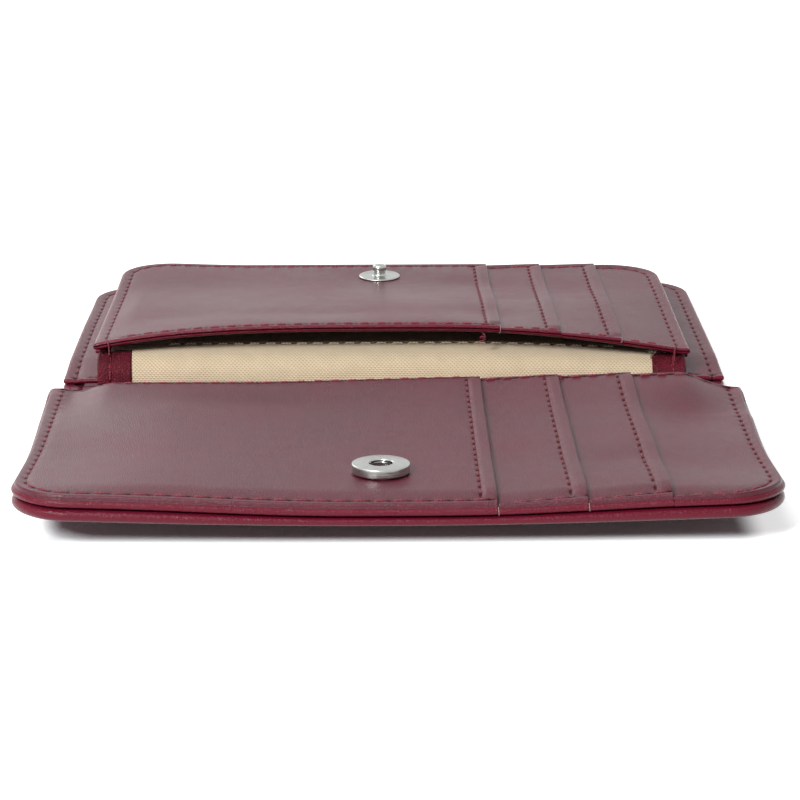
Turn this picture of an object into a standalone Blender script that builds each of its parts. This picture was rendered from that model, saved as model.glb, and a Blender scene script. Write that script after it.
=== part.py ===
"""A snap card case: three leather leaves bound at one fold, open flat with the card slots up.

The front cover lies toward -Y, the back cover toward +Y, and the page lies over the back cover.
X runs along the fold, and Z = 0 is the table that the back cover lies on.
Every ply is a sheet of its own, turned over at its sewn edges and a little apart from its neighbours.
"""

import math

import bmesh
import bpy
from mathutils import Matrix, Vector

MM = 0.001

# Covers: both are cut to the same width and depth, with round outer corners
COVER_WIDTH = 114 * MM
COVER_DEPTH = 67.5 * MM
COVER_CORNER = 9 * MM

# Fold: two creases with the spine strip between them
BACK_CREASE_Y = 6.5 * MM
FRONT_CREASE_Y = -6.5 * MM
CREASE_GAP = 0.25 * MM
PAGE_AXIS_Z = 0 * MM
SPINE_AXIS_Z = 1.2 * MM
FRONT_AXIS_Z = 2.2 * MM
FOLD_ANGLE = math.radians(89.1)

# Page: inside the back cover's edge all round, with larger corners
PAGE_SIDE_MARGIN = 5.4 * MM
PAGE_EDGE_MARGIN = 2.5 * MM
PAGE_MOUTH_SETBACK = 1.2 * MM
PAGE_WIDTH = COVER_WIDTH - 2 * PAGE_SIDE_MARGIN
PAGE_DEPTH = COVER_DEPTH - PAGE_EDGE_MARGIN - PAGE_MOUTH_SETBACK
PAGE_MOUTH_Y = BACK_CREASE_Y + PAGE_MOUTH_SETBACK
PAGE_CORNER = 10.5 * MM
PAGE_CENTRE_X = -0.9 * MM
PAGE_MOUTH_Z = 8.9 * MM
PAGE_FALL = 1.6 * MM
PAGE_THICKNESS = 2.7 * MM
PAGE_BULGE = 0.9 * MM
PAGE_BULGE_AT_END = 0.45 * MM
BULGE_RUN = 4 * MM

# Plies and their turned edges
SHELL = 0.9 * MM
SHELL_HEM = 1.2 * MM
PLY = 0.5 * MM
THIN = 0.25 * MM
HEM = 1.95 * MM
PAGE_HEM = 1.2 * MM
PAGE_BACK_HEM = 0.9 * MM
HEM_WIDTH = 1.8 * MM
HEM_RUN_OUT = 0.7 * MM
LINING_INSET = 2.7 * MM
CARD_LINING_INSET = 3.2 * MM
GAP = 0.2 * MM

# Front cover at rest: sprung up along its outer edge and a little more at its sides
FRONT_RISE = 4 * MM
FRONT_SIDE_RISE = 1.9 * MM
FRONT_SIDE_RISE_AT_END = 1.2 * MM
FRONT_SEW_START = 18 * MM
FRONT_THICKNESS = 3.45 * MM
FRONT_MOUTH_HEIGHT = 6.3 * MM
GAPE_SHARE = 0.6
FRONT_BULGE = 0.5 * MM

# Back cover: its inner panel is open toward the fold
BACK_PANEL_TOP = 2.9 * MM
BACK_MOUTH_LIFT = 0.2 * MM
BACK_MOUTH_SETBACK = 2 * MM

# Card slots, from each leaf's right edge to the edge of the slot
FRONT_SLOTS = (42.7 * MM, 29.6 * MM, 17.3 * MM)
PAGE_SLOTS = (32.9 * MM, 22.5 * MM, 11.7 * MM)
FRONT_STEP = 0.75 * MM
PAGE_STEP = 0.62 * MM
SLOT_GAP = 0.3 * MM
TONGUE = 4 * MM
END_STRIP_FALL = 0.35 * MM
CARD_LINING_RISE = 0.35

# Hinge wall: the cloth that carries the page, with a leather facing at each end
WALL_FOOT_SETBACK = 1.2 * MM
WALL_FOOT_Z = 1.9 * MM
WALL_KNEE_LEAN = 0.3 * MM
WALL_KNEE_RISE = 2 * MM
WALL_TURN = (1.2 * MM, 0.7 * MM)
WALL_TOP_SETBACK = 2.8 * MM
WALL_SEAM_SETBACK = 6.4 * MM
WALL_FOOT = (BACK_CREASE_Y + WALL_FOOT_SETBACK, WALL_FOOT_Z)
WALL_KNEE = (WALL_FOOT[0] + WALL_KNEE_LEAN, WALL_FOOT_Z + WALL_KNEE_RISE)
WALL_TOP_Y = PAGE_MOUTH_Y + WALL_TOP_SETBACK
WALL_SEAM_Y = PAGE_MOUTH_Y + WALL_SEAM_SETBACK
FACING_WIDTH = 5.9 * MM
FACING_INSET = 0.6 * MM
FACING_DROP = 2.3 * MM
FACING_FOOT_Z = WALL_FOOT_Z
FACING_TOP_Z = PAGE_MOUTH_Z - FACING_DROP

# Press snap: a stud on the page and a spring socket on the front cover
SNAP_X = -2.6 * MM
STUD_EDGE_MARGIN = 10.5 * MM
STUD_Y = PAGE_MOUTH_Y + PAGE_DEPTH - STUD_EDGE_MARGIN
SNAP_SEAT = 0.2 * MM
STUD_FLANGE_RADIUS = 3.95 * MM
STUD_HEAD_RADIUS = 1.45 * MM
STUD_NECK_RADIUS = 0.85 * MM
STUD_HEIGHT = 2.4 * MM
SOCKET_RADIUS = 4.4 * MM
SOCKET_HEIGHT = 1.5 * MM
SOCKET_BORE = 1.75 * MM
SOCKET_CAVITY = 2.9 * MM
SPRING_WIRE = 0.22 * MM
SPRING_HALF_GAP = 1.25 * MM
RIVET_FLANGE_RADIUS = 3.4 * MM
RIVET_FLANGE = 0.25 * MM
RIVET_WALL = 0.35 * MM
RIVET_PIN_RADIUS = 0.9 * MM
HOLE_CLEARANCE = 0.3 * MM
CUTTER_LENGTH = 4 * MM
TILT_STEP = 2 * MM
SPRING_TURNS = 8
TURNED_STEPS = 32

# Mesh: rows and columns of the sheets, and how near two points count as one
EDGE_ROUND = 0.28 * MM
COLUMN_PITCH = 9 * MM
ROW_PITCH = 9 * MM
CORNER_ROWS = (0.55, 0.05)
ROW_SPLIT = 0.1 * MM
SAME_POINT = 0.01 * MM


def clear_scene():
    for obj in list(bpy.data.objects):
        bpy.data.objects.remove(obj, do_unlink=True)


def new_collection(name, hidden=False):
    collection = bpy.data.collections.new(name)
    bpy.context.scene.collection.children.link(collection)
    collection.hide_render = hidden
    return collection


def make_material(name, colour, roughness, metallic=0.0):
    material = bpy.data.materials.new(name)
    material.use_nodes = True
    shader = material.node_tree.nodes["Principled BSDF"]
    shader.inputs["Base Color"].default_value = (*colour, 1)
    shader.inputs["Roughness"].default_value = roughness
    shader.inputs["Metallic"].default_value = metallic
    return material


def smooth_step(value):
    value = min(max(value, 0.0), 1.0)
    return value * value * (3 - 2 * value)


def corner_inset(v, depth, radius, inset=0.0):
    """How far a leaf's side is drawn in at v: by inset, and round its outer corner by a quarter circle."""
    into = v - (depth - radius)
    if into <= 0:
        return inset
    return radius - math.sqrt(max((radius - inset) ** 2 - into * into, 0.0))


def stations(length, pitch, first_hem=True, last_hem=True, last_corner=0.0):
    """Places along a ply's side: its hems, the steps between them, and the turn of a round corner."""
    start = HEM_WIDTH + HEM_RUN_OUT if first_hem else 0.0
    end = length - (HEM_WIDTH + HEM_RUN_OUT if last_hem else 0.0)
    places = {0.0, length}
    if first_hem:
        places.add(HEM_WIDTH)
    if last_hem:
        places.add(length - HEM_WIDTH)
    inner_end = min(end, length - last_corner) if last_corner else end
    count = max(1, math.ceil((inner_end - start) / pitch))
    for i in range(count + 1):
        places.add(start + (inner_end - start) * i / count)
    if last_corner:
        places.add(end)
        places.update(length - share * last_corner for share in CORNER_ROWS)
    return sorted(places)


def sheet(name, spec, place, thickness, upward, material, rounded=True):
    """A ply: a grid over x and v, moved to its place, then given its thickness up or down.

    spec holds the rows (v), the columns (shares of the width), and left(v) and right(v).
    """
    rows, columns, left, right = spec
    cells = bmesh.new()
    bmesh.ops.create_grid(cells, x_segments=len(columns) - 1, y_segments=len(rows) - 1, size=1)
    thick = {}
    for vertex in cells.verts:
        i = round((vertex.co.x + 1) / 2 * (len(columns) - 1))
        j = round((vertex.co.y + 1) / 2 * (len(rows) - 1))
        v = rows[j]
        x = left(v) + (right(v) - left(v)) * columns[i]
        thick[vertex.index] = thickness(x, v)
        vertex.co = place(x, v)
    cells.normal_update()
    if sum(face.normal.z * face.calc_area() for face in cells.faces) < 0:
        bmesh.ops.reverse_faces(cells, faces=cells.faces)
    mesh = bpy.data.meshes.new(name)
    cells.to_mesh(mesh)
    cells.free()
    mesh.shade_smooth()
    obj = add_object(name, mesh, material)
    most = max(thick.values())
    group = obj.vertex_groups.new(name="thickness")
    for index, value in thick.items():
        group.add([index], value / most, "REPLACE")
    solidify = obj.modifiers.new("Thickness", "SOLIDIFY")
    solidify.thickness = most
    solidify.offset = 1 if upward else -1
    solidify.vertex_group = group.name
    if rounded:
        bevel = obj.modifiers.new("Round edge", "BEVEL")
        bevel.width = EDGE_ROUND
        bevel.segments = 2
        bevel.limit_method = "ANGLE"
        bevel.angle_limit = math.radians(50)
    return obj


def add_object(name, mesh, material):
    obj = bpy.data.objects.new(name, mesh)
    mesh.materials.append(material)
    CASE.objects.link(obj)
    return obj


def shares(places):
    return [place / places[-1] for place in places]


def leaf_outline(width, depth, corner, centre=0.0, inset=0.0, start=0.0):
    """The rows, columns and sides of a whole leaf, drawn in by inset at its three sewn edges."""

    def left(v):
        return centre - width / 2 + corner_inset(v, depth, corner, inset)

    def right(v):
        return 2 * centre - left(v)

    rows = [v for v in stations(depth, ROW_PITCH, last_corner=corner) if start < v < depth - inset]
    rows = [start] + rows + [depth - inset]
    columns = shares(stations(width - 2 * inset, COLUMN_PITCH))
    return rows, columns, left, right


def hemmed(width, depth, corner, hem, ply, centre=0.0, open_mouth=True):
    """Thickness of a ply turned over at its sides and outer edge, and at its mouth where open."""

    def thickness(x, v):
        side = width / 2 - corner_inset(v, depth, corner) - abs(x - centre)
        nearest = min(side, depth - v, v if open_mouth else depth)
        return hem if nearest <= HEM_WIDTH + SAME_POINT else ply

    return thickness


def front_shell_bottom(x, v):
    share = v / COVER_DEPTH
    side = FRONT_SIDE_RISE + (FRONT_SIDE_RISE_AT_END - FRONT_SIDE_RISE) * share
    across = (2 * x / COVER_WIDTH) ** 2
    return FRONT_RISE * share + side * across * smooth_step(v / FRONT_SEW_START)


def front_panel_top(x, v):
    """The card panel's top: sewn down at its sides, and gaping evenly toward the fold between them."""
    gape = FRONT_MOUTH_HEIGHT - FRONT_THICKNESS
    across = smooth_step((abs(2 * x / COVER_WIDTH) - GAPE_SHARE) / (1 - GAPE_SHARE))
    share = v / COVER_DEPTH
    bulge = FRONT_BULGE * share * smooth_step((COVER_DEPTH - v - HEM_WIDTH) / BULGE_RUN)
    middle = gape * (1 - share) + bulge
    side = gape * (1 - smooth_step(v / FRONT_SEW_START))
    return front_shell_bottom(x, v) + FRONT_THICKNESS + middle + (side - middle) * across


def page_plane(v):
    return PAGE_MOUTH_Z - PAGE_FALL * v / PAGE_DEPTH


def page_bulge(x, v):
    side = PAGE_WIDTH / 2 - abs(x - PAGE_CENTRE_X) - HEM_WIDTH
    return smooth_step(side / BULGE_RUN) * smooth_step((PAGE_DEPTH - v - HEM_WIDTH) / BULGE_RUN)


def page_top(x, v):
    most = PAGE_BULGE + (PAGE_BULGE_AT_END - PAGE_BULGE) * v / PAGE_DEPTH
    return page_plane(v) + most * page_bulge(x, v)


def on_front(height):
    return lambda x, v: Vector((x, FRONT_CREASE_Y - CREASE_GAP - v, height(x, v)))


def on_back(height):
    return lambda x, v: Vector((x, BACK_CREASE_Y + CREASE_GAP + v, height(x, v)))


def on_page(height):
    return lambda x, v: Vector((x, PAGE_MOUTH_Y + v, height(x, v)))


def card_panel(prefix, leaf, material, lining_material):
    """The four stepped plies that hold the cards, each reaching under the one to its left."""
    width, depth, corner, centre, slots, step, top, seat, room, _, place = leaf
    right_edge = centre + width / 2
    slot_x = [right_edge - slot for slot in slots]
    kinds = ("face", "strip_middle", "strip_outer", "end")
    names = [f"{prefix}_card_{kind}" for kind in kinds]
    made = []
    for k, name in enumerate(names):
        first, last = k == 0, k == len(names) - 1
        begins = None if first else slot_x[k - 1]
        ends = right_edge if last else slot_x[k]
        above = step / (begins - slot_x[k - 2]) if k > 1 else 0.0
        made.append(card_ply(name, leaf, begins, ends, above, last, material))
    inset = CARD_LINING_INSET
    lining = leaf_outline(width, depth, corner, centre, inset, start=inset)
    made.append(
        sheet(
            f"{prefix}_card_lining",
            lining,
            place(lambda x, v: seat(x, v) + CARD_LINING_RISE * (top(x, v) - seat(x, v) - room)),
            lambda x, v: THIN,
            True,
            lining_material,
            rounded=False,
        )
    )
    return made


def card_ply(name, leaf, begins, ends, above, last, material):
    """One stepped ply: it starts under its neighbour, whose slope is above, and climbs to its own slot."""
    width, depth, corner, centre, _, step, top, seat, _, hem, place = leaf
    left_edge = centre - width / 2
    first = begins is None

    def left(v):
        if first:
            return left_edge + corner_inset(v, depth, corner)
        in_hem = v < HEM_WIDTH + HEM_RUN_OUT or v > depth - HEM_WIDTH - HEM_RUN_OUT
        return begins + SLOT_GAP if in_hem else begins - TONGUE

    def right(v):
        return ends - (corner_inset(v, depth, corner) if last else 0.0)

    def height(x, v):
        if first:
            return top(x, v)
        if x < begins:
            return top(x, v) - step - above * (begins - x)
        reach = step - END_STRIP_FALL if last else step
        return top(x, v) - step + reach * (x - begins) / (ends - begins)

    def thickness(x, v):
        nearest = min(v, depth - v)
        if first:
            nearest = min(nearest, x - left(v))
        if last:
            nearest = min(nearest, right(v) - x)
        if nearest > HEM_WIDTH + SAME_POINT:
            return PLY
        return min(height(x, v) - seat(x, v), hem)

    span = ends - (left_edge if first else begins - TONGUE)
    bend = HEM_WIDTH + HEM_RUN_OUT
    splits = {bend - ROW_SPLIT, depth - bend + ROW_SPLIT}
    rows = sorted(set(stations(depth, ROW_PITCH, last_corner=corner)) | splits)
    columns = shares(stations(span, COLUMN_PITCH / 2 if not first else COLUMN_PITCH, first, last))
    if not first:
        slot_share = TONGUE / span
        columns = sorted(set(columns) | {slot_share})
    return sheet(name, (rows, columns, left, right), place(height), thickness, False, material)


def turned(name, profile, material, closed=False):
    """A body of revolution: its profile runs from its top down its outer side."""
    mesh = bpy.data.meshes.new(name)
    points = [(radius, 0, z) for radius, z in profile]
    edges = [(i, i + 1) for i in range(len(points) - 1)]
    if closed:
        edges.append((len(points) - 1, 0))
    mesh.from_pydata(points, edges, [])
    obj = add_object(name, mesh, material)
    screw = obj.modifiers.new("Turn", "SCREW")
    screw.steps = TURNED_STEPS
    screw.render_steps = TURNED_STEPS
    screw.use_merge_vertices = True
    screw.merge_threshold = SAME_POINT
    screw.use_smooth_shade = True
    return obj


def tilt_of(height, x, v, outward):
    """The slope angle of a leaf's surface about X, where outward is the Y direction in which v grows."""
    rise = (height(x, v + TILT_STEP) - height(x, v - TILT_STEP)) / (2 * TILT_STEP)
    return math.atan(rise * outward)


def seat_on(obj, spot, tilt, lift):
    obj.rotation_euler = (tilt, 0, 0)
    obj.location = spot + Matrix.Rotation(tilt, 3, "X") @ Vector((0, 0, lift))


def cut_hole(obj, spot, tilt, radius):
    cells = bmesh.new()
    bmesh.ops.create_cone(
        cells, cap_ends=True, segments=TURNED_STEPS, radius1=radius, radius2=radius, depth=CUTTER_LENGTH
    )
    half_step = Matrix.Rotation(math.pi / TURNED_STEPS, 3, "Z")
    bmesh.ops.rotate(cells, verts=cells.verts, matrix=half_step)
    mesh = bpy.data.meshes.new(obj.name + "_hole")
    cells.to_mesh(mesh)
    cells.free()
    cutter = bpy.data.objects.new(mesh.name, mesh)
    CUTTERS.objects.link(cutter)
    cutter.hide_render = True
    cutter.display_type = "WIRE"
    seat_on(cutter, spot, tilt, 0.0)
    hole = obj.modifiers.new("Hole", "BOOLEAN")
    hole.operation = "DIFFERENCE"
    hole.object = cutter
    hole.solver = "EXACT"


def make_back_cover(leather, lining):
    """The flat cover that the case lies on: outer shell, lining, and the pocket panel over it."""
    outline = leaf_outline(COVER_WIDTH, COVER_DEPTH, COVER_CORNER)
    shell = sheet(
        "back_cover_outer",
        outline,
        on_back(lambda x, v: 0.0),
        hemmed(COVER_WIDTH, COVER_DEPTH, COVER_CORNER, SHELL_HEM, SHELL, open_mouth=False),
        True,
        leather,
    )
    inner = leaf_outline(COVER_WIDTH, COVER_DEPTH, COVER_CORNER, inset=LINING_INSET)
    liner = sheet(
        "back_lining",
        inner,
        on_back(lambda x, v: SHELL + GAP),
        lambda x, v: THIN,
        True,
        lining,
        rounded=False,
    )
    panel = sheet(
        "back_inner_panel",
        leaf_outline(COVER_WIDTH, COVER_DEPTH, COVER_CORNER, start=BACK_MOUTH_SETBACK),
        on_back(lambda x, v: BACK_PANEL_TOP + BACK_MOUTH_LIFT * (1 - smooth_step(v / FRONT_SEW_START))),
        hemmed(COVER_WIDTH, COVER_DEPTH, COVER_CORNER, SHELL_HEM, PLY, open_mouth=False),
        False,
        leather,
    )
    return [shell, liner, panel]


def make_spine(leather, lining):
    """The strip of shell between the creases, and the lining inside it."""
    length = BACK_CREASE_Y - FRONT_CREASE_Y - 2 * CREASE_GAP
    outer_columns = shares(stations(COVER_WIDTH, COLUMN_PITCH))

    def place(height):
        return lambda x, v: Vector((x, BACK_CREASE_Y - CREASE_GAP - v, height))

    def side(inset):
        return lambda v: inset - COVER_WIDTH / 2

    def far_side(inset):
        return lambda v: COVER_WIDTH / 2 - inset

    strip_rows = [length * i / 4 for i in range(5)]
    strip = sheet(
        "spine_strip",
        (strip_rows, outer_columns, side(0.0), far_side(0.0)),
        place(0.0),
        lambda x, v: SHELL,
        True,
        leather,
    )
    keep_back = 2 * CREASE_GAP
    lining_rows = [keep_back + (length - 2 * keep_back) * i / 4 for i in range(5)]
    liner = sheet(
        "spine_lining",
        (lining_rows, outer_columns, side(LINING_INSET), far_side(LINING_INSET)),
        place(SHELL + GAP),
        lambda x, v: THIN,
        True,
        lining,
        rounded=False,
    )
    return [strip, liner]


def make_front_cover(leather, lining):
    """The cover with the socket: outer shell, lining, and the stepped card panel over a slip pocket."""
    shell = sheet(
        "front_cover_outer",
        leaf_outline(COVER_WIDTH, COVER_DEPTH, COVER_CORNER),
        on_front(front_shell_bottom),
        hemmed(COVER_WIDTH, COVER_DEPTH, COVER_CORNER, SHELL_HEM, SHELL, open_mouth=False),
        True,
        leather,
    )
    liner = sheet(
        "front_lining",
        leaf_outline(COVER_WIDTH, COVER_DEPTH, COVER_CORNER, inset=LINING_INSET),
        on_front(lambda x, v: front_shell_bottom(x, v) + SHELL + GAP),
        lambda x, v: THIN,
        True,
        lining,
        rounded=False,
    )

    def seat(x, v):
        return front_shell_bottom(x, v) + SHELL_HEM + SLOT_GAP

    leaf = (
        COVER_WIDTH,
        COVER_DEPTH,
        COVER_CORNER,
        0.0,
        FRONT_SLOTS,
        FRONT_STEP,
        front_panel_top,
        seat,
        FRONT_THICKNESS - SHELL_HEM - SLOT_GAP,
        HEM,
        on_front,
    )
    return [shell, liner] + card_panel("front", leaf, leather, lining)


def page_back_bottom(x, v):
    return page_plane(v) - PAGE_THICKNESS


def page_lining_bottom(x, v):
    return page_back_bottom(x, v) + PLY + GAP


def make_page(leather, cloth, lining):
    """The middle leaf: a leather back, a cloth-lined pocket open toward the fold, and a card panel."""
    back_start = WALL_TOP_Y - PAGE_MOUTH_Y + 2 * GAP
    back = sheet(
        "page_back_panel",
        leaf_outline(PAGE_WIDTH, PAGE_DEPTH, PAGE_CORNER, PAGE_CENTRE_X, start=back_start),
        on_page(page_back_bottom),
        hemmed(PAGE_WIDTH, PAGE_DEPTH, PAGE_CORNER, PAGE_BACK_HEM, PLY, PAGE_CENTRE_X, open_mouth=False),
        True,
        leather,
    )
    lining_start = WALL_SEAM_Y - PAGE_MOUTH_Y + SLOT_GAP
    pocket_floor = sheet(
        "page_lining",
        leaf_outline(
            PAGE_WIDTH, PAGE_DEPTH, PAGE_CORNER, PAGE_CENTRE_X, inset=LINING_INSET, start=lining_start
        ),
        on_page(page_lining_bottom),
        lambda x, v: THIN,
        True,
        cloth,
        rounded=False,
    )

    def seat(x, v):
        return page_back_bottom(x, v) + PAGE_BACK_HEM + GAP

    leaf = (
        PAGE_WIDTH,
        PAGE_DEPTH,
        PAGE_CORNER,
        PAGE_CENTRE_X,
        PAGE_SLOTS,
        PAGE_STEP,
        page_top,
        seat,
        PAGE_THICKNESS - PAGE_BACK_HEM - GAP,
        PAGE_HEM,
        on_page,
    )
    return [back, pocket_floor] + card_panel("page", leaf, leather, lining)


def wall_path():
    """The hinge wall's middle line in Y and Z, from its sewn foot up and over into the pocket."""
    top_z = page_lining_bottom(0.0, WALL_TOP_Y - PAGE_MOUTH_Y)
    seam_z = page_lining_bottom(0.0, WALL_SEAM_Y - PAGE_MOUTH_Y)
    corner = Vector((WALL_TOP_Y, top_z))
    points = [Vector(WALL_FOOT), Vector(WALL_KNEE)]
    turn = corner - Vector(WALL_TURN)
    return points + [turn, corner, Vector((WALL_SEAM_Y, seam_z))]


def make_hinge(leather, cloth):
    """The cloth wall that carries the page on the fold, and the facing sewn over each end of it."""
    path = wall_path()
    half = PAGE_WIDTH / 2 - LINING_INSET
    columns = shares(stations(2 * half, COLUMN_PITCH))
    last = len(path) - 1

    def wall_place(x, v):
        point = path[round(v * last)]
        return Vector((x, point.x, point.y))

    rows = [i / last for i in range(len(path))]
    wall = sheet(
        "page_hinge",
        (rows, columns, lambda v: PAGE_CENTRE_X - half, lambda v: PAGE_CENTRE_X + half),
        wall_place,
        lambda x, v: THIN,
        True,
        cloth,
        rounded=False,
    )
    foot, knee, turn = path[:3]
    made = [wall]
    offset = THIN + GAP
    for name, side in (("page_hinge_facing_left", -1), ("page_hinge_facing_right", 1)):
        outer = PAGE_CENTRE_X + side * (PAGE_WIDTH / 2 - FACING_INSET)
        inner = outer - side * FACING_WIDTH
        low, high = min(outer, inner), max(outer, inner)

        def facing_place(x, v):
            z = FACING_FOOT_Z + (FACING_TOP_Z - FACING_FOOT_Z) * v
            if z < knee.y:
                y = foot.x + (knee.x - foot.x) * (z - foot.y) / (knee.y - foot.y)
            else:
                y = knee.x + (turn.x - knee.x) * (z - knee.y) / (turn.y - knee.y)
            return Vector((x, y - offset, z))

        bend = (knee.y - FACING_FOOT_Z) / (FACING_TOP_Z - FACING_FOOT_Z)
        facing_rows = [0.0, bend / 2, bend, (1 + bend) / 2, 1.0]
        made.append(
            sheet(
                name,
                (facing_rows, [0.0, 0.5, 1.0], lambda v, low=low: low, lambda v, high=high: high),
                facing_place,
                lambda x, v: THIN,
                True,
                leather,
                rounded=False,
            )
        )
    return made


def open_place(point):
    """Where a point of the closed case lies on the front cover when the case is open."""
    back_axis = Vector((0, BACK_CREASE_Y, SPINE_AXIS_Z))
    front_axis = Vector((0, FRONT_CREASE_Y, FRONT_AXIS_Z))
    unfold = Matrix.Rotation(FOLD_ANGLE, 3, "X")
    after_spine = back_axis + unfold @ (point - back_axis)
    return front_axis + unfold @ (after_spine - front_axis)


def make_snap(metal, steel, page_face, front_face):
    """The press snap: the stud's neck passes between the legs of the wire spring in the socket."""
    stud_v = STUD_Y - PAGE_MOUTH_Y
    stud_spot = Vector((SNAP_X, STUD_Y, page_top(SNAP_X, stud_v)))
    stud_tilt = tilt_of(page_top, SNAP_X, stud_v, 1)
    stud = turned(
        "snap_stud",
        [
            (0.0, STUD_HEIGHT),
            (0.75 * STUD_HEAD_RADIUS, 0.96 * STUD_HEIGHT),
            (STUD_HEAD_RADIUS, 0.83 * STUD_HEIGHT),
            (0.9 * STUD_HEAD_RADIUS, 0.7 * STUD_HEIGHT),
            (STUD_NECK_RADIUS, 0.64 * STUD_HEIGHT),
            (STUD_NECK_RADIUS, 0.25 * STUD_HEIGHT),
            (1.6 * STUD_NECK_RADIUS, 0.15 * STUD_HEIGHT),
            (0.93 * STUD_FLANGE_RADIUS, 0.12 * STUD_HEIGHT),
            (STUD_FLANGE_RADIUS, 0.05 * STUD_HEIGHT),
            (STUD_FLANGE_RADIUS, 0.0),
            (0.0, 0.0),
        ],
        metal,
    )
    seat_on(stud, stud_spot, stud_tilt, SNAP_SEAT)
    flange_top = -PLY - GAP
    flange_bottom = flange_top - RIVET_FLANGE
    rivet = turned(
        "stud_rivet",
        [
            (0.0, 0.0),
            (RIVET_PIN_RADIUS, 0.0),
            (RIVET_PIN_RADIUS, flange_top),
            (RIVET_FLANGE_RADIUS, flange_top),
            (RIVET_FLANGE_RADIUS, flange_bottom),
            (0.0, flange_bottom),
        ],
        metal,
    )
    seat_on(rivet, stud_spot, stud_tilt, 0.0)
    cut_hole(page_face, stud_spot, stud_tilt, RIVET_PIN_RADIUS + HOLE_CLEARANCE)

    socket_spot = open_place(stud_spot)
    socket_v = FRONT_CREASE_Y - CREASE_GAP - socket_spot.y
    socket_spot.z = front_panel_top(SNAP_X, socket_v)
    socket_tilt = tilt_of(front_panel_top, SNAP_X, socket_v, -1)
    socket = turned(
        "snap_socket",
        [
            (SOCKET_BORE, 0.93 * SOCKET_HEIGHT),
            (0.55 * SOCKET_RADIUS, SOCKET_HEIGHT),
            (0.8 * SOCKET_RADIUS, 0.97 * SOCKET_HEIGHT),
            (0.95 * SOCKET_RADIUS, 0.82 * SOCKET_HEIGHT),
            (SOCKET_RADIUS, 0.6 * SOCKET_HEIGHT),
            (SOCKET_RADIUS, 0.12 * SOCKET_HEIGHT),
            (0.96 * SOCKET_RADIUS, 0.0),
            (SOCKET_CAVITY, 0.0),
            (SOCKET_CAVITY, 0.72 * SOCKET_HEIGHT),
            (SOCKET_BORE, 0.77 * SOCKET_HEIGHT),
        ],
        metal,
        closed=True,
    )
    seat_on(socket, socket_spot, socket_tilt, SNAP_SEAT)
    spring = make_spring(steel)
    seat_on(spring, socket_spot, socket_tilt, SNAP_SEAT + 0.55 * SOCKET_HEIGHT)
    barrel = SOCKET_BORE + RIVET_WALL
    socket_rivet = turned(
        "socket_rivet",
        [
            (SOCKET_BORE, 0.0),
            (barrel, 0.0),
            (barrel, flange_top),
            (RIVET_FLANGE_RADIUS, flange_top),
            (RIVET_FLANGE_RADIUS, flange_bottom),
            (SOCKET_BORE, flange_bottom),
        ],
        metal,
        closed=True,
    )
    seat_on(socket_rivet, socket_spot, socket_tilt, 0.0)
    cut_hole(front_face, socket_spot, socket_tilt, barrel + HOLE_CLEARANCE)
    return [stud, rivet], [socket, spring, socket_rivet]


def make_spring(steel):
    """A wire bent to a U, whose legs close on the stud's neck."""
    reach = 0.85 * SOCKET_CAVITY
    bend_at = reach - SPRING_WIRE - SPRING_HALF_GAP
    leg_end = math.sqrt(reach**2 - (SPRING_HALF_GAP + SPRING_WIRE) ** 2)
    points = [(-SPRING_HALF_GAP, -leg_end)]
    for i in range(SPRING_TURNS + 1):
        angle = math.pi - math.pi * i / SPRING_TURNS
        points.append((SPRING_HALF_GAP * math.cos(angle), bend_at + SPRING_HALF_GAP * math.sin(angle)))
    points.append((SPRING_HALF_GAP, -leg_end))
    curve = bpy.data.curves.new("snap_spring", "CURVE")
    curve.dimensions = "3D"
    curve.bevel_depth = SPRING_WIRE
    curve.bevel_resolution = 2
    curve.use_fill_caps = True
    spline = curve.splines.new("POLY")
    spline.points.add(len(points) - 1)
    for point, (x, y) in zip(spline.points, points):
        point.co = (x, y, 0, 1)
    curve.materials.append(steel)
    obj = bpy.data.objects.new("snap_spring", curve)
    CASE.objects.link(obj)
    return obj


def pivot(name, y, z, parent=None):
    empty = bpy.data.objects.new(name, None)
    CASE.objects.link(empty)
    empty.location = (0, y, z)
    attach([empty], parent)
    return empty


def attach(objects, parent):
    if parent is None:
        return
    bpy.context.view_layer.update()
    for obj in objects:
        obj.parent = parent
        obj.matrix_parent_inverse = parent.matrix_world.inverted()


def main():
    leather = make_material("burgundy leather", (0.11, 0.016, 0.026), 0.42)
    lining = make_material("burgundy lining cloth", (0.06, 0.012, 0.02), 0.85)
    cloth = make_material("beige twill", (0.62, 0.5, 0.34), 0.9)
    metal = make_material("nickel", (0.74, 0.73, 0.71), 0.28, 1.0)
    steel = make_material("spring steel", (0.55, 0.55, 0.56), 0.35, 1.0)

    make_back_cover(leather, lining)
    page_parts = make_page(leather, cloth, lining) + make_hinge(leather, cloth)
    spine_parts = make_spine(leather, lining)
    front_parts = make_front_cover(leather, lining)
    page_face = bpy.data.objects["page_card_face"]
    front_face = bpy.data.objects["front_card_face"]
    on_the_page, on_the_front = make_snap(metal, steel, page_face, front_face)

    page_pivot = pivot("page_pivot", BACK_CREASE_Y, PAGE_AXIS_Z)
    spine_pivot = pivot("spine_pivot", BACK_CREASE_Y, SPINE_AXIS_Z, page_pivot)
    front_pivot = pivot("front_cover_pivot", FRONT_CREASE_Y, FRONT_AXIS_Z, spine_pivot)
    attach(page_parts + on_the_page, page_pivot)
    attach(spine_parts, spine_pivot)
    attach(front_parts + on_the_front, front_pivot)


clear_scene()
CASE = new_collection("snap_card_case")
CUTTERS = new_collection("cutters", hidden=True)
main()
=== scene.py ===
"""A burgundy leather card case with a press snap, lying open on a white table.

Sizes are in millimetres along the case, x along the fold and v from the fold toward a leaf's outer edge.
"""
import math

import bpy
import numpy as np
from mathutils import Matrix, Vector


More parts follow.
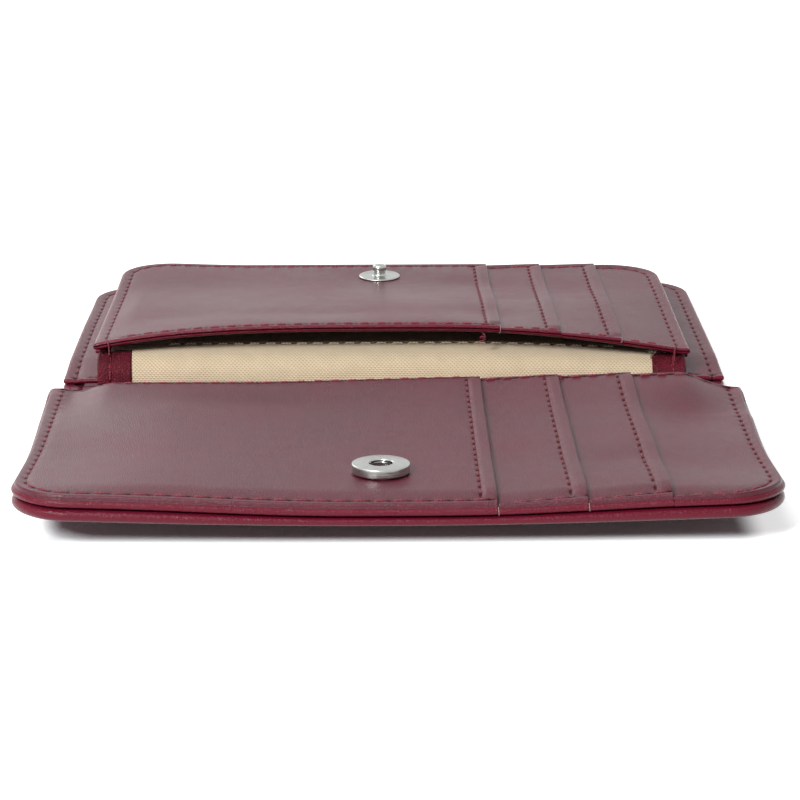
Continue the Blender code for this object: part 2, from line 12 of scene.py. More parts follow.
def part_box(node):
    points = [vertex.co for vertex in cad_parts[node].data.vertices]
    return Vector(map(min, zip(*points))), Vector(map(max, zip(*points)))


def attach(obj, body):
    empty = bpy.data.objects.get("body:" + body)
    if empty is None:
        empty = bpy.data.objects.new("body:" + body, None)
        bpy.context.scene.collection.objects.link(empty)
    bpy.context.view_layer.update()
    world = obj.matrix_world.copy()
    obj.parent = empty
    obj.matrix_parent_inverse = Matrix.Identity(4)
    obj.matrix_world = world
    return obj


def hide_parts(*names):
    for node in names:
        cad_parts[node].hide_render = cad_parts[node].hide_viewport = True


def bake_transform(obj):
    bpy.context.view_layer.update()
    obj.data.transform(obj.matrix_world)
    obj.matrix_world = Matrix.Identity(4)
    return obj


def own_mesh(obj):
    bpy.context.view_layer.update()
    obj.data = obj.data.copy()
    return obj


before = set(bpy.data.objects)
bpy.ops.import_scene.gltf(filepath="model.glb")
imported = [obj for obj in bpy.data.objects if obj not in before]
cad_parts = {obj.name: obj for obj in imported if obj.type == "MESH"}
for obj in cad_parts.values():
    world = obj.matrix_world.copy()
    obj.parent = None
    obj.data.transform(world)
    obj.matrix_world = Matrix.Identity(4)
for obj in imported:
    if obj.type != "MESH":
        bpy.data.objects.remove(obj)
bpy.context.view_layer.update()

MM = 0.001

# Camera: the photo was taken low in front of the case with a long lens, looking a little down.
# Its place comes from fitting the case's edges, so the leaves run together as they do in the photo.
camera_place = np.array([-2.83, -428.8, 130.35])
pitch, yaw, roll = np.radians([16.82, 0.485, 0.158])
forward = np.array([math.sin(yaw) * math.cos(pitch), math.cos(yaw) * math.cos(pitch), -math.sin(pitch)])
level_right = np.array([math.cos(yaw), -math.sin(yaw), 0.0])
level_down = np.cross(forward, level_right)
right_hand = level_right * math.cos(roll) + level_down * math.sin(roll)
up_hand = np.cross(right_hand, forward)
turn = Matrix(np.stack([right_hand, up_hand, -forward], axis=1).tolist()).to_4x4()
lens = bpy.data.cameras.new("photo_camera")
lens.lens = 117.1
lens.sensor_width = 36
lens.clip_start = 0.01
lens.clip_end = 20


def put_object(name, data):
    """A new object of the scene from its camera, lamp or mesh."""
    made = bpy.data.objects.new(name, data)
    bpy.context.scene.collection.objects.link(made)
    return made


camera = put_object("photo_camera", lens)
camera.matrix_world = Matrix.Translation(camera_place * MM) @ turn
bpy.context.scene.camera = camera
bpy.context.scene.view_settings.view_transform = "Standard"


# Table: a plain white sheet under the case, which keeps the case's soft shadow.
# Away from the case it adds a painted glow of white of its own where it is seen or mirrored, as an
# overexposed backdrop does; the glow starts a little inside the case's outline, so the case's shadow shows
# only within a few millimetres of it.
def node(tree, kind, place=(0, 0), **settings):
    """A new node in a material or a group, with its settings given by name."""
    made = tree.nodes.new(kind)
    made.location = (place[0] * 200, place[1] * 200)
    for key, value in settings.items():
        setattr(made, key, value)
    return made


def link(tree, source, target):
    """Joins an output to an input, or sets the input where the source is a plain value."""
    if isinstance(source, bpy.types.NodeSocket):
        tree.links.new(source, target)
    else:
        target.default_value = source


def calculate(tree, operation, *values):
    """One step of arithmetic on numbers that change over a surface."""
    step = node(tree, "ShaderNodeMath", operation=operation)
    for socket, value in zip(step.inputs, values):
        link(tree, value, socket)
    return step.outputs[0]


def plus(tree, first, second):
    return calculate(tree, "ADD", first, second)


def minus(tree, first, second):
    return calculate(tree, "SUBTRACT", first, second)


def times(tree, first, second):
    return calculate(tree, "MULTIPLY", first, second)


def larger(tree, first, second):
    return calculate(tree, "MAXIMUM", first, second)


def size_of(tree, value):
    """A number without its sign."""
    return calculate(tree, "ABSOLUTE", value)


def new_material(name):
    """An empty material, its nodes, and the inputs of its shader."""
    material = bpy.data.materials.new(name)
    material.use_nodes = True
    tree = material.node_tree
    return material, tree, tree.nodes["Principled BSDF"].inputs


def seen_directly(tree):
    """1 where the camera, a mirror or glass looks, and 0 for the light that a surface gathers."""
    path = node(tree, "ShaderNodeLightPath", (-4, 2))
    seen = larger(tree, path.outputs["Is Camera Ray"], path.outputs["Is Glossy Ray"])
    return larger(tree, seen, path.outputs["Is Transmission Ray"])


reach = 3.0
floor_z = -0.00004
corners = [(-reach, -reach, floor_z), (reach, -reach, floor_z), (reach, reach, floor_z),
           (-reach, reach, floor_z)]
floor_mesh = bpy.data.meshes.new("table")
floor_mesh.from_pydata(corners, [], [(0, 1, 2, 3)])
table = put_object("table", floor_mesh)
paper, paper_tree, paper_shader = new_material("white paper")
paper_shader["Base Color"].default_value = (0.92, 0.97, 0.98, 1)
paper_shader["Roughness"].default_value = 0.9
paper_shader["Specular IOR Level"].default_value = 0.0
paper_shader["Emission Color"].default_value = (1, 1, 1, 1)
# The distance from a rectangle a little smaller than the case, in metres, by Pythagoras
table_place = node(paper_tree, "ShaderNodeTexCoord", (-6, 0)).outputs["Object"]
split_place = node(paper_tree, "ShaderNodeSeparateXYZ", (-6, 0))
link(paper_tree, table_place, split_place.inputs[0])
inside_edge = (0.050, 0.0665)
beyond = []
for axis, half in zip("XY", inside_edge):
    out = larger(paper_tree, minus(paper_tree, size_of(paper_tree, split_place.outputs[axis]), half), 0.0)
    beyond.append(times(paper_tree, out, out))
from_case = calculate(paper_tree, "SQRT", plus(paper_tree, *beyond))
# Painted glow: almost none inside the rectangle, 0.62 at five millimetres beyond it, and up to 0.38 more far
# off, which lightens the case's shadow there.
painted_glow_from_case = node(paper_tree, "ShaderNodeMapRange", (-4, 0), interpolation_type="SMOOTHSTEP")
for label, number in zip(("From Min", "From Max", "To Min", "To Max"), (0.0, 0.005, 0.01, 0.62)):
    painted_glow_from_case.inputs[label].default_value = number
link(paper_tree, from_case, painted_glow_from_case.inputs["Value"])
far_off = calculate(paper_tree, "MINIMUM", times(paper_tree, from_case, 0.5), 0.38)
white = plus(paper_tree, painted_glow_from_case.outputs["Result"], far_off)
link(paper_tree, times(paper_tree, seen_directly(paper_tree), white), paper_shader["Emission Strength"])
floor_mesh.materials.append(paper)

world = bpy.data.worlds.new("white room")
bpy.context.scene.world = world
world.use_nodes = True
room_tree = world.node_tree
sky = room_tree.nodes["Background"].inputs
sky["Color"].default_value = (1, 1, 1, 1)
room_light = 0.2
link(room_tree, plus(room_tree, times(room_tree, seen_directly(room_tree), 1 - room_light), room_light),
     sky["Strength"])


def soft_lamp(name, place, aim, size, power):
    """A square area lamp at a place in metres, turned to face a point."""
    light = bpy.data.lights.new(name, "AREA")
    light.size = size
    light.energy = power
    direction = Vector(place) - Vector(aim)
    turned_to = direction.to_track_quat("Z", "Y").to_matrix().to_4x4()
    put_object(name, light).matrix_world = Matrix.Translation(place) @ turned_to


soft_lamp("overhead_lamp", (-0.25, 0.1, 0.85), (0, 0, 0), 0.5, 3.4)
soft_lamp("front_lamp", (-0.4, -0.68, 0.5), (0, -0.03, 0), 0.22, 9.6)
soft_lamp("back_lamp", (-0.38, 0.88, 0.46), (0, 0, 0), 0.35, 1.1)


# Outer leather of the back cover: smooth burgundy calf, one sheet of about 1 mm, its three edges turned
# over and sewn all round. It lies flat on the table and carries everything else.
# Leaves are told by their width, depth, corner radius, middle line, and the y where v starts and its sign.
COVER = {"width": 114.0, "depth": 67.5, "corner": 9.0, "middle": 0.0}
BACK = dict(COVER, start=6.75, sign=1, spread=(1.1, 0.8), spread_from=0.0, spread_run=2.5)
FRONT = dict(COVER, start=-6.75, sign=-1)
SEAM_INSET = 2.1
STITCH = 2.9
SEAMS = ("rim_seam", "slot_seam", "mouth_seam")
GRID = 0.5
hem_width = 1.8
hem_run_out = 0.7


def smooth(value):
    """Rises from 0 to 1 with no slope at either end: three squares less two cubes of the clipped value."""
    t = np.clip(value, 0, 1)
    return t * t * (3 - 2 * t)


def edge_steps(radius, out_to=3.3, pitch=0.3):
    """Offsets from an edge: six over its round, closer at the outside, and even ones across the seam.

    An array of offsets may stand in place of the radius, for an edge with a profile of its own.
    """
    if isinstance(radius, np.ndarray):
        over = radius
    elif radius == 0:
        return np.array([0.0])
    else:
        over = radius * (1 - np.cos(np.linspace(0, np.pi / 2, 7)))
    flat = np.linspace(over[-1], out_to, max(2, math.ceil((out_to - over[-1]) / pitch) + 1))
    return np.concatenate([over, flat[1:]])


def grid_lines(start, end, first_round, last_round, pitch=GRID, out_to=3.3):
    """Lines from start to end: close over the round of each edge, then at an even pitch."""
    near, far = edge_steps(first_round, out_to), edge_steps(last_round, out_to)
    inner_start, inner_end = start + near[-1], end - far[-1]
    count = max(1, math.ceil((inner_end - inner_start) / pitch))
    inside = np.linspace(inner_start, inner_end, count + 1)
    return np.concatenate([start + near[:-1], inside, (end - far[:-1])[::-1]])


def round_corner(x, v, leaf, side):
    """Moves a square corner's points onto its quarter disc.

    A point keeps the larger of its two offsets from the disc's centre as its radius, and it turns
    by an eighth of a circle times the smaller offset over the larger one.
    """
    radius = leaf["corner"]
    centre_x = leaf["middle"] + side * (leaf["width"] / 2 - radius)
    centre_v = leaf["depth"] - radius
    out_x, out_v = side * (x - centre_x), v - centre_v
    inside = (out_x > 0) & (out_v > 0)
    far, near = np.maximum(out_x, out_v), np.minimum(out_x, out_v)
    angle = np.pi / 4 * near / np.where(far > 0, far, 1)
    angle = np.where(out_x >= out_v, angle, np.pi / 2 - angle)
    new_x = np.where(inside, centre_x + side * far * np.cos(angle), x)
    new_v = np.where(inside, centre_v + far * np.sin(angle), v)
    return new_x, new_v


def to_edge(x, v, leaf):
    """Distance to the nearest of the leaf's three outer edges, measured toward its round corners there."""
    radius = leaf["corner"]
    out_x = np.abs(x - leaf["middle"]) - (leaf["width"] / 2 - radius)
    out_v = v - (leaf["depth"] - radius)
    straight = radius - np.maximum(out_x, out_v)
    return np.where((out_x > 0) & (out_v > 0), radius - np.hypot(out_x, out_v), straight)


def rim_seam(x, v, leaf, inset=SEAM_INSET):
    """Where a point stands by the seam that follows the three outer edges.

    Along it: from the left mouth corner, up the left side, round the corner, along the outer edge,
    and back down the right side. Across it: inward from the edge, less the seam's own inset.
    """
    radius = leaf["corner"]
    half = leaf["width"] / 2 - radius
    side_length = leaf["depth"] - radius
    arc = (radius - inset) * np.pi / 2
    from_middle = x - leaf["middle"]
    out_x, out_v = np.abs(from_middle) - half, v - side_length
    angle = np.arctan2(np.maximum(out_v, 0), np.maximum(out_x, 1e-9))
    on_side = out_x > out_v
    near_side = np.where(on_side, np.minimum(v, side_length), side_length)
    left = near_side + (radius - inset) * angle
    total = 2 * side_length + 2 * arc + 2 * half
    in_corner = (out_x > 0) & (out_v > 0)
    edge = side_length + arc + half + from_middle
    along = np.where(in_corner | on_side, np.where(from_middle < 0, left, total - left), edge)
    return along, np.where(v < 1.0, 99.0, to_edge(x, v, leaf) - inset)


def valley(seam, depth, wide=0.6, pitch=STITCH):
    """How a seam draws the leather down: a trough of bell section, deepest at the needle holes."""
    along, across = seam
    wave = 0.62 + 0.38 * np.cos(2 * np.pi * along / pitch)
    broad = np.exp(-((across / (2.6 * wide)) ** 2))
    return depth * (np.exp(-((across / wide) ** 2)) * wave + 0.5 * broad)


def shell_mesh(top, bottom):
    """A closed sheet from two grids of points, whose outermost lines may be shared or a wall apart.

    Its faces turn outward, so that the pyramids from the origin to them add up to a volume above zero.
    """
    rows, columns = top.shape[:2]
    index = np.arange(rows * columns).reshape(rows, columns)
    cells = [index[:-1, :-1], index[:-1, 1:], index[1:, 1:], index[1:, :-1]]
    cells = np.stack(cells, axis=-1).reshape(-1, 4)
    edge = np.concatenate([index[0, :-1], index[:-1, -1], index[-1, :0:-1], index[:0:-1, 0]])
    next_edge = np.roll(edge, -1)
    apart = np.linalg.norm(top.reshape(-1, 3)[edge] - bottom.reshape(-1, 3)[edge], axis=1) > 1e-6
    under = index.reshape(-1) + rows * columns
    under[edge[~apart]] = edge[~apart]
    walls = np.stack([edge, under[edge], under[next_edge], next_edge], axis=-1)
    walls = walls[apart & np.roll(apart, -1)]
    below = under[cells][:, ::-1]
    points = np.concatenate([top.reshape(-1, 3), bottom.reshape(-1, 3)])
    quads = np.concatenate([cells, below, walls])
    a, b, c, d = (points[quads[:, corner]] for corner in range(4))
    volume = (np.cross(a, b) * c).sum() + (np.cross(a, c) * d).sum()
    return points, quads if volume > 0 else quads[:, ::-1]


def put_mesh(name, points, quads, material, attributes, body=None, replaced=None):
    """Puts arrays of points in millimetres and of four-cornered faces into a smooth mesh object.

    Where two corners of a face are drawn to one point, the face keeps that point once.
    """
    faces = [tuple(dict.fromkeys(face)) for face in quads.tolist()]
    faces = [face for face in faces if len(face) > 2]
    lengths = np.array([len(face) for face in faces])
    used, new_index = np.unique([corner for face in faces for corner in face], return_inverse=True)
    mesh = bpy.data.meshes.new(name)
    mesh.vertices.add(len(used))
    mesh.vertices.foreach_set("co", (points[used] * MM).astype(np.float32).ravel())
    mesh.loops.add(len(new_index))
    mesh.loops.foreach_set("vertex_index", new_index.astype(np.int32))
    mesh.polygons.add(len(lengths))
    mesh.polygons.foreach_set("loop_start", (np.cumsum(lengths) - lengths).astype(np.int32))
    mesh.update(calc_edges=True)
    mesh.validate()
    for key, values in attributes.items():
        flat = values.reshape(-1, 3)[used].astype(np.float32)
        mesh.attributes.new(key, "FLOAT_VECTOR", "POINT").data.foreach_set("vector", flat.ravel())
    mesh.shade_smooth()
    mesh.materials.append(material)
    obj = put_object(name, mesh)
    if body:
        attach(obj, body)
    if replaced:
        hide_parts(replaced)
    return obj


def place_on(leaf, x, v, z):
    """A leaf's own x, v and height as points of the case.

    With use a leaf has spread to the left and right by two amounts. The spread grows from nothing at the
    middle of the leaf, and along v it comes in over a run, or with a negative run dies away.
    """
    left, right = leaf.get("spread", (0.0, 0.0))
    share = smooth((v - leaf.get("spread_from", 0.0)) / leaf.get("spread_run", 1.0))
    inner, outer = leaf.get("spread_across", (20.0, 50.0))
    to_right = right * smooth((x - inner) / (outer - inner))
    to_left = left * smooth((-x - inner) / (outer - inner))
    x = x + share * (to_right - to_left)
    return np.stack([x, leaf["start"] + leaf["sign"] * v, z], axis=-1)


def hollows(x, v, leaf, places):
    """How deep the soft hollows of a used face lie: each a bell round its middle, none at the hems."""
    inside = smooth((np.minimum(to_edge(x, v, leaf), v) - 1.8) / 3)
    deep = np.zeros_like(x)
    for middle_x, middle_v, wide_x, wide_v, depth in places:
        deep = deep + depth * np.exp(-(((x - middle_x) / wide_x) ** 2) - ((v - middle_v) / wide_v) ** 2)
    return deep * inside


def quarter_round(share):
    """The height of a quarter circle of radius one, at a place from its foot."""
    return np.sqrt(np.maximum(1 - (1 - np.clip(share, 0, 1)) ** 2, 0))


def ply(name, leaf, material, xs, vs, top, thick, round_at, corners=(-1, 1), seams=None, warp=None,
        lifts=None, lip=None, body=None):
    """One sheet of leather or cloth, as a closed surface.

    A grid of x and v lines is bent round the leaf's corners. Its top comes from one function and its
    thickness from another. round_at gives how far a point is from each edge that is turned over: there the
    two surfaces draw together on a half circle whose radius is half the thickness. lifts are, for the first
    lines of v, how far from the middle they stand, where the mouth has a profile of its own. lip splits the
    first edge into a bead, a share of the thickness, and a second edge set back above it, with its radius.
    The third number of each seam's place is painted shade: 1 on a turned rim, painted redder and duller, and
    -1 in the crease of a mouth turned twice, painted dark.
    """
    x, v = np.meshgrid(xs, vs)
    if warp:
        x = warp(x, v)
    for side in corners:
        x, v = round_corner(x, v, leaf, side)
    height, deep = top(x, v), thick(x, v)
    low, high = height - deep, height
    turned_edges = round_at(x, v, deep / 2)
    if lip:
        distance, share, setback, radius = turned_edges.pop(0)[0], *lip
        past_mouth = smooth((v - 2.5) / 6)
        plain = quarter_round(2 * distance / deep)
        bead = share / 2
        lobe = quarter_round(distance / (bead * deep))
        upper = share + (1 - share) * quarter_round((distance - setback) / radius)
        stepped = np.maximum(bead * (1 + lobe), np.where(distance > setback, upper, 0))
        high = low + deep * (past_mouth * stepped + (1 - past_mouth) * (1 + plain) / 2)
        low = low + deep * (past_mouth * bead * (1 - lobe) + (1 - past_mouth) * (1 - plain) / 2)
        turned_edges.insert(0, (distance, np.full_like(x, 1e-6)))
    middle, half = (low + high) / 2, (high - low) / 2
    fullness = np.ones_like(x)
    for distance, radius in turned_edges:
        fullness = np.minimum(fullness, quarter_round(distance / radius))
    if lifts is not None:
        fullness[: len(lifts)] = np.minimum(fullness[: len(lifts)], np.asarray(lifts)[:, None])
    over, under = middle + half * fullness, middle - half * fullness
    points, quads = shell_mesh(place_on(leaf, x, v, over), place_on(leaf, x, v, under))
    far_away = np.full_like(x, 99.0)
    # shade is painted shade for the leather: near 1 on turned rims, and below 0 for painted shadow in a lip's
    # crease and in the first lines of a mouth turned twice; cap spreads the rim's painted shade over the end
    # of a lip's hem by the mouth.
    nearest = np.minimum.reduce([distance for distance, _ in turned_edges[:2]])
    shade = smooth((1.0 - nearest) / 0.65)
    if lip:
        shade = smooth((0.5 - nearest) / 0.08) - 0.4 * past_mouth * np.exp(-(((nearest - 0.56) / 0.13) ** 2))
        cap = smooth((7.0 - v) / 5.5) * smooth((2.6 - turned_edges[0][0]) / 0.7)
        shade = np.maximum(shade, np.maximum(smooth((1.0 - v) / 0.65), 0.9 * cap))
    if lifts is not None:
        shade[:3] = -1
    attributes = {}
    for key in SEAMS:
        along, across = seams[key](x, v) if seams and key in seams else (far_away, far_away)
        attributes[key] = np.concatenate([np.stack([along, across, shade], axis=-1)] * 2)
    return put_mesh(name, points, quads, material, attributes, body)


def new_group(name, inputs, outputs):
    """An empty shader group: number or vector inputs with their usual values, and number outputs."""
    tree = bpy.data.node_groups.new(name, "ShaderNodeTree")
    for label, value in inputs.items():
        kind = "NodeSocketFloat" if isinstance(value, (int, float)) else "NodeSocketVector"
        socket = tree.interface.new_socket(label, in_out="INPUT", socket_type=kind)
        socket.default_value = value
    for label in outputs:
        tree.interface.new_socket(label, in_out="OUTPUT", socket_type="NodeSocketFloat")
    return tree, node(tree, "NodeGroupInput", (-6, 0)).outputs, node(tree, "NodeGroupOutput", (6, 0)).inputs


def use_group(tree, group, **values):
    """Places a group in a material, with its inputs set by name."""
    made = node(tree, "ShaderNodeGroup", node_tree=group)
    for label, value in values.items():
        link(tree, value, made.inputs[label.replace("_", " ")])
    return made.outputs


def noise(tree, vector, scale, detail=3.0, roughness=0.5):
    """Clouds between 0 and 1, of a scale in cells to a unit of the vector."""
    made = node(tree, "ShaderNodeTexNoise", (-4, 0))
    link(tree, vector, made.inputs["Vector"])
    link(tree, scale, made.inputs["Scale"])
    made.inputs["Detail"].default_value = detail
    made.inputs["Roughness"].default_value = roughness
    return made.outputs["Fac"]


def between(tree, value, low, high, new_low=0.0, new_high=1.0):
    """Maps a value from one range to another, clipped and with no slope at its ends."""
    made = node(tree, "ShaderNodeMapRange", interpolation_type="SMOOTHSTEP")
    labels = ("Value", "From Min", "From Max", "To Min", "To Max")
    for label, number in zip(labels, (value, low, high, new_low, new_high)):
        link(tree, number, made.inputs[label])
    return made.outputs["Result"]


def mix_colour(tree, share, first, second):
    """One colour where the share is 0, another where it is 1, and a mixture between."""
    made = node(tree, "ShaderNodeMix", data_type="RGBA")
    for label, value in (("Factor", share), ("A", first), ("B", second)):
        link(tree, value if isinstance(value, (bpy.types.NodeSocket, float)) else (*value, 1),
             made.inputs[label])
    return made.outputs["Result"]


def add_bump(tree, shader, height):
    """Gives a surface small heights, in millimetres."""
    bump = node(tree, "ShaderNodeBump", (-1, -2))
    bump.inputs["Distance"].default_value = MM
    link(tree, height, bump.inputs["Height"])
    link(tree, bump.outputs[0], shader["Normal"])


def grain_group():
    """Fine grain: cells about 0.4 mm wide, broken up by noise, and a tone that drifts in broad patches."""
    tree, given, made = new_group("Leather grain", {"Place": (0, 0, 0), "Cell": 2600.0}, ("Height", "Tone"))
    cells = node(tree, "ShaderNodeTexVoronoi", feature="DISTANCE_TO_EDGE")
    link(tree, given["Place"], cells.inputs["Vector"])
    link(tree, given["Cell"], cells.inputs["Scale"])
    ridge = between(tree, cells.outputs["Distance"], 0.0, 0.25)
    fine = noise(tree, given["Place"], times(tree, given["Cell"], 2.2), 2.0)
    broad = noise(tree, given["Place"], 60.0, 4.0, 0.55)
    middle = noise(tree, given["Place"], 420.0, 3.0, 0.6)
    grain = plus(tree, times(tree, ridge, 0.6), times(tree, fine, 0.7))
    link(tree, plus(tree, grain, times(tree, middle, 0.4)), made["Height"])
    tone = plus(tree, times(tree, broad, 0.65), times(tree, middle, 0.35))
    link(tree, between(tree, tone, 0.3, 0.7), made["Tone"])
    return tree


def holes_group():
    """Needle holes along one seam: painted shade as a dark dot at every stitch's end and a dark trough by it,
    and a soft dent.
    """
    inputs = {"Place": (0, 0, 0), "Pitch": STITCH, "Radius": 0.4}
    tree, given, made = new_group("Needle holes", inputs, ("Hole", "Dent"))
    split = node(tree, "ShaderNodeSeparateXYZ")
    link(tree, given["Place"], split.inputs[0])
    turns = calculate(tree, "DIVIDE", split.outputs["X"], given["Pitch"])
    off = minus(tree, turns, calculate(tree, "ROUND", turns))
    off = times(tree, off, given["Pitch"])
    square = plus(tree, calculate(tree, "POWER", size_of(tree, off), 2.0),
                  calculate(tree, "POWER", size_of(tree, split.outputs["Y"]), 2.0))
    away = calculate(tree, "SQRT", square)
    wide = times(tree, given["Radius"], 1.8)
    hole = between(tree, away, given["Radius"], times(tree, given["Radius"], 0.55))
    near_hole = between(tree, size_of(tree, off), 1.15, 0.55)
    # Painted shade in the trough beside each needle hole.
    trough = between(tree, size_of(tree, split.outputs["Y"]), 0.36, 0.12, 0.0, 0.8)
    trough = times(tree, trough, near_hole)
    link(tree, larger(tree, hole, trough), made["Hole"])
    link(tree, between(tree, away, wide, 0.0), made["Dent"])
    return tree


GRAIN = grain_group()
HOLES = holes_group()


def leather(name, colour, dark, roughness, grain_cell=2600.0, grain_depth=0.04, hole=0.34, specular=0.34):
    """Dyed leather: two close tones in broad patches, fine grain, painted shade as a redder, duller rim, and
    painted shade in needle holes, seam troughs and creases.
    """
    material, tree, shader = new_material(name)
    place = node(tree, "ShaderNodeTexCoord", (-6, 0)).outputs["Object"]
    grain = use_group(tree, GRAIN, Place=place, Cell=grain_cell)
    holes, dents, rim = 0.0, 0.0, None
    for key in SEAMS:
        seam = node(tree, "ShaderNodeAttribute", (-6, -2), attribute_name=key)
        found = use_group(tree, HOLES, Place=seam.outputs["Vector"], Radius=hole)
        holes = larger(tree, found["Hole"], holes)
        dents = larger(tree, found["Dent"], dents)
        if rim is None:
            split = node(tree, "ShaderNodeSeparateXYZ")
            link(tree, seam.outputs["Vector"], split.inputs[0])
            rim = between(tree, split.outputs["Z"], 0.0, 1.0)
            crease = between(tree, split.outputs["Z"], 0.0, -1.0)
    toned = mix_colour(tree, grain["Tone"], dark, colour)
    # Painted shade: turned rims get a redder, darker-looking colour that stands in for the little sheen a
    # rounded bead catches.
    painted_rim_shade_colour = (colour[0] * 1.3, colour[1] * 0.5, colour[2] * 0.8)
    rim_with_painted_shade = mix_colour(tree, times(tree, rim, 0.9), toned, painted_rim_shade_colour)
    # Painted shade: the crease of a mouth turned twice joins the needle holes and their troughs, and all are
    # mixed toward near black.
    holes = larger(tree, holes, times(tree, crease, 0.75))
    link(tree, mix_colour(tree, holes, rim_with_painted_shade, (0.028, 0.0015, 0.004)), shader["Base Color"])
    rough = plus(tree, times(tree, grain["Tone"], 0.08), roughness - 0.04)
    link(tree, minus(tree, rough, times(tree, rim, 0.08)), shader["Roughness"])
    dull = larger(tree, times(tree, rim, 0.45), holes)
    link(tree, between(tree, dull, 0.0, 1.0, specular, 0.08 * specular), shader["Specular IOR Level"])
    grained = times(tree, grain["Height"], grain_depth)
    add_bump(tree, shader, minus(tree, grained, times(tree, dents, 0.07)))
    return material


BURGUNDY = leather("burgundy leather", (0.088, 0.0085, 0.020), (0.066, 0.006, 0.014), 0.36, specular=0.31)

shell_ply, shell_hem = 0.9, 1.2
crease_y = 6.5


def from_edge(x, v, leaf, ply_thickness, hem_thickness):
    """Thickness of a sheet that is turned over at its sewn edges: the hem's, running out to the ply's."""
    share = smooth((to_edge(x, v, leaf) - hem_width) / hem_run_out)
    return hem_thickness + (ply_thickness - hem_thickness) * share


def rim_round(leaf):
    """The rounding of a sheet at the leaf's three outer edges alone."""
    return lambda x, v, half: [(to_edge(x, v, leaf), half)]


def cover_shell(name, leaf, bottom, reach_in, fuller=lambda x, v: 0 * x):
    """A cover's outer leather, from its crease to its outer edge, its seam drawn up from below."""
    def full(x, v):
        return from_edge(x, v, leaf, shell_ply, shell_hem + fuller(x, v))

    def thick(x, v):
        return full(x, v) - valley(rim_seam(x, v, leaf), 0.10)

    def top(x, v):
        return bottom(x, v) + full(x, v)

    half_width = leaf["width"] / 2
    xs = grid_lines(leaf["middle"] - half_width, leaf["middle"] + half_width, shell_hem / 2, shell_hem / 2)
    vs = grid_lines(-reach_in, leaf["depth"], 0, shell_hem / 2)
    seams = {"rim_seam": lambda x, v: rim_seam(x, v, leaf)}
    return ply(name, leaf, BURGUNDY, xs, vs, top, thick, rim_round(leaf), seams=seams)


back_outer = cover_shell("back_outer_leather", BACK, lambda x, v: 0 * x, BACK["start"] - crease_y)
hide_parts("back_cover_outer")
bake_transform(back_outer)


# Back lining: thin burgundy cloth glued to the back cover's leather, inside its turned edges.
# It is what shows between the fold and the mouth of the back cover's pocket.
def weave_group():
    """A diagonal weave in the sheet's own place: ribs along one slant, cut into yarns by the other."""
    inputs = {"Place": (0, 0, 0), "Rib": 0.65, "Yarn": 0.55}
    tree, given, made = new_group("Twill weave", inputs, ("Height", "Gap"))
    split = node(tree, "ShaderNodeSeparateXYZ")
    link(tree, given["Place"], split.inputs[0])
    x, y = split.outputs["X"], split.outputs["Y"]
    wander = times(tree, minus(tree, noise(tree, given["Place"], 0.9, 2.0), 0.5), 0.25)
    slant = plus(tree, plus(tree, x, y), wander)
    high = 0.0
    for across, label, share in ((slant, "Rib", 0.6), (y, "Yarn", 0.4)):
        turns = calculate(tree, "DIVIDE", across, given[label])
        wave = calculate(tree, "SINE", times(tree, turns, 2 * math.pi))
        high = plus(tree, times(tree, wave, share), high)
    link(tree, high, made["Height"])
    link(tree, between(tree, high, -0.2, -0.95), made["Gap"])
    return tree


WEAVE = weave_group()


def cloth(name, colour, dark, rib, yarn, depth):
    """Woven cloth: lighter yarns, darker gaps between them, slubs, and a matt nap."""
    material, tree, shader = new_material(name)
    flat_place = node(tree, "ShaderNodeAttribute", (-6, 0), attribute_name="cloth_place").outputs["Vector"]
    woven = use_group(tree, WEAVE, Place=flat_place, Rib=rib, Yarn=yarn)
    slub = noise(tree, flat_place, 0.35, 4.0, 0.6)
    base = mix_colour(tree, between(tree, slub, 0.3, 0.7), [c * 0.93 for c in colour], colour)
    link(tree, mix_colour(tree, times(tree, woven["Gap"], 0.6), base, dark), shader["Base Color"])
    shader["Roughness"].default_value = 0.9
    shader["Specular IOR Level"].default_value = 0.25
    shader["Sheen Weight"].default_value = 0.15
    add_bump(tree, shader, times(tree, woven["Height"], depth))
    return material


LINING = cloth("burgundy lining cloth", (0.085, 0.010, 0.020), (0.03, 0.003, 0.006), 0.5, 0.42, 0.05)
thin = 0.25
lining_inset = 2.7


def cloth_sheet(name, x, y, z, material, upward=(0, 0, 1)):
    """A thin sheet of cloth from grids of its middle surface, thickened both ways, with its flat place kept.

    Along the cloth's own length the flat place is the sum of the steps from one line to the next.
    """
    middle = np.stack([x, y, z], axis=-1)
    along_x, along_v = np.gradient(middle, axis=1), np.gradient(middle, axis=0)
    outward = np.cross(along_x, along_v)
    outward /= np.linalg.norm(outward, axis=-1, keepdims=True)
    if (outward.reshape(-1, 3) @ np.array(upward)).sum() < 0:
        outward = -outward
    step = np.linalg.norm(np.diff(middle, axis=0), axis=-1)
    down = np.concatenate([np.zeros((1, x.shape[1])), np.cumsum(step, axis=0)])
    flat = np.stack([x, down, np.zeros_like(x)], axis=-1)
    points, quads = shell_mesh(middle + outward * thin / 2, middle - outward * thin / 2)
    flat_place = {"cloth_place": np.concatenate([flat, flat])}
    return put_mesh(name, points, quads, material, flat_place, None)


def leaf_cloth(name, leaf, height, start, inset, material=LINING):
    """A leaf's lining: its outline drawn in from the three sewn edges, lying at a height of x and v."""
    inner = dict(leaf, width=leaf["width"] - 2 * inset, depth=leaf["depth"] - inset,
                 corner=leaf["corner"] - inset)
    half_width, pitch = inner["width"] / 2, 1.5
    xs = grid_lines(leaf["middle"] - half_width, leaf["middle"] + half_width, 0, 0, pitch)
    vs = grid_lines(start, inner["depth"], 0, 0, pitch)
    x, v = np.meshgrid(xs, vs)
    for side in (-1, 1):
        x, v = round_corner(x, v, inner, side)
    made = cloth_sheet(name, x, leaf["start"] + leaf["sign"] * v, height(x, v), material)
    return made


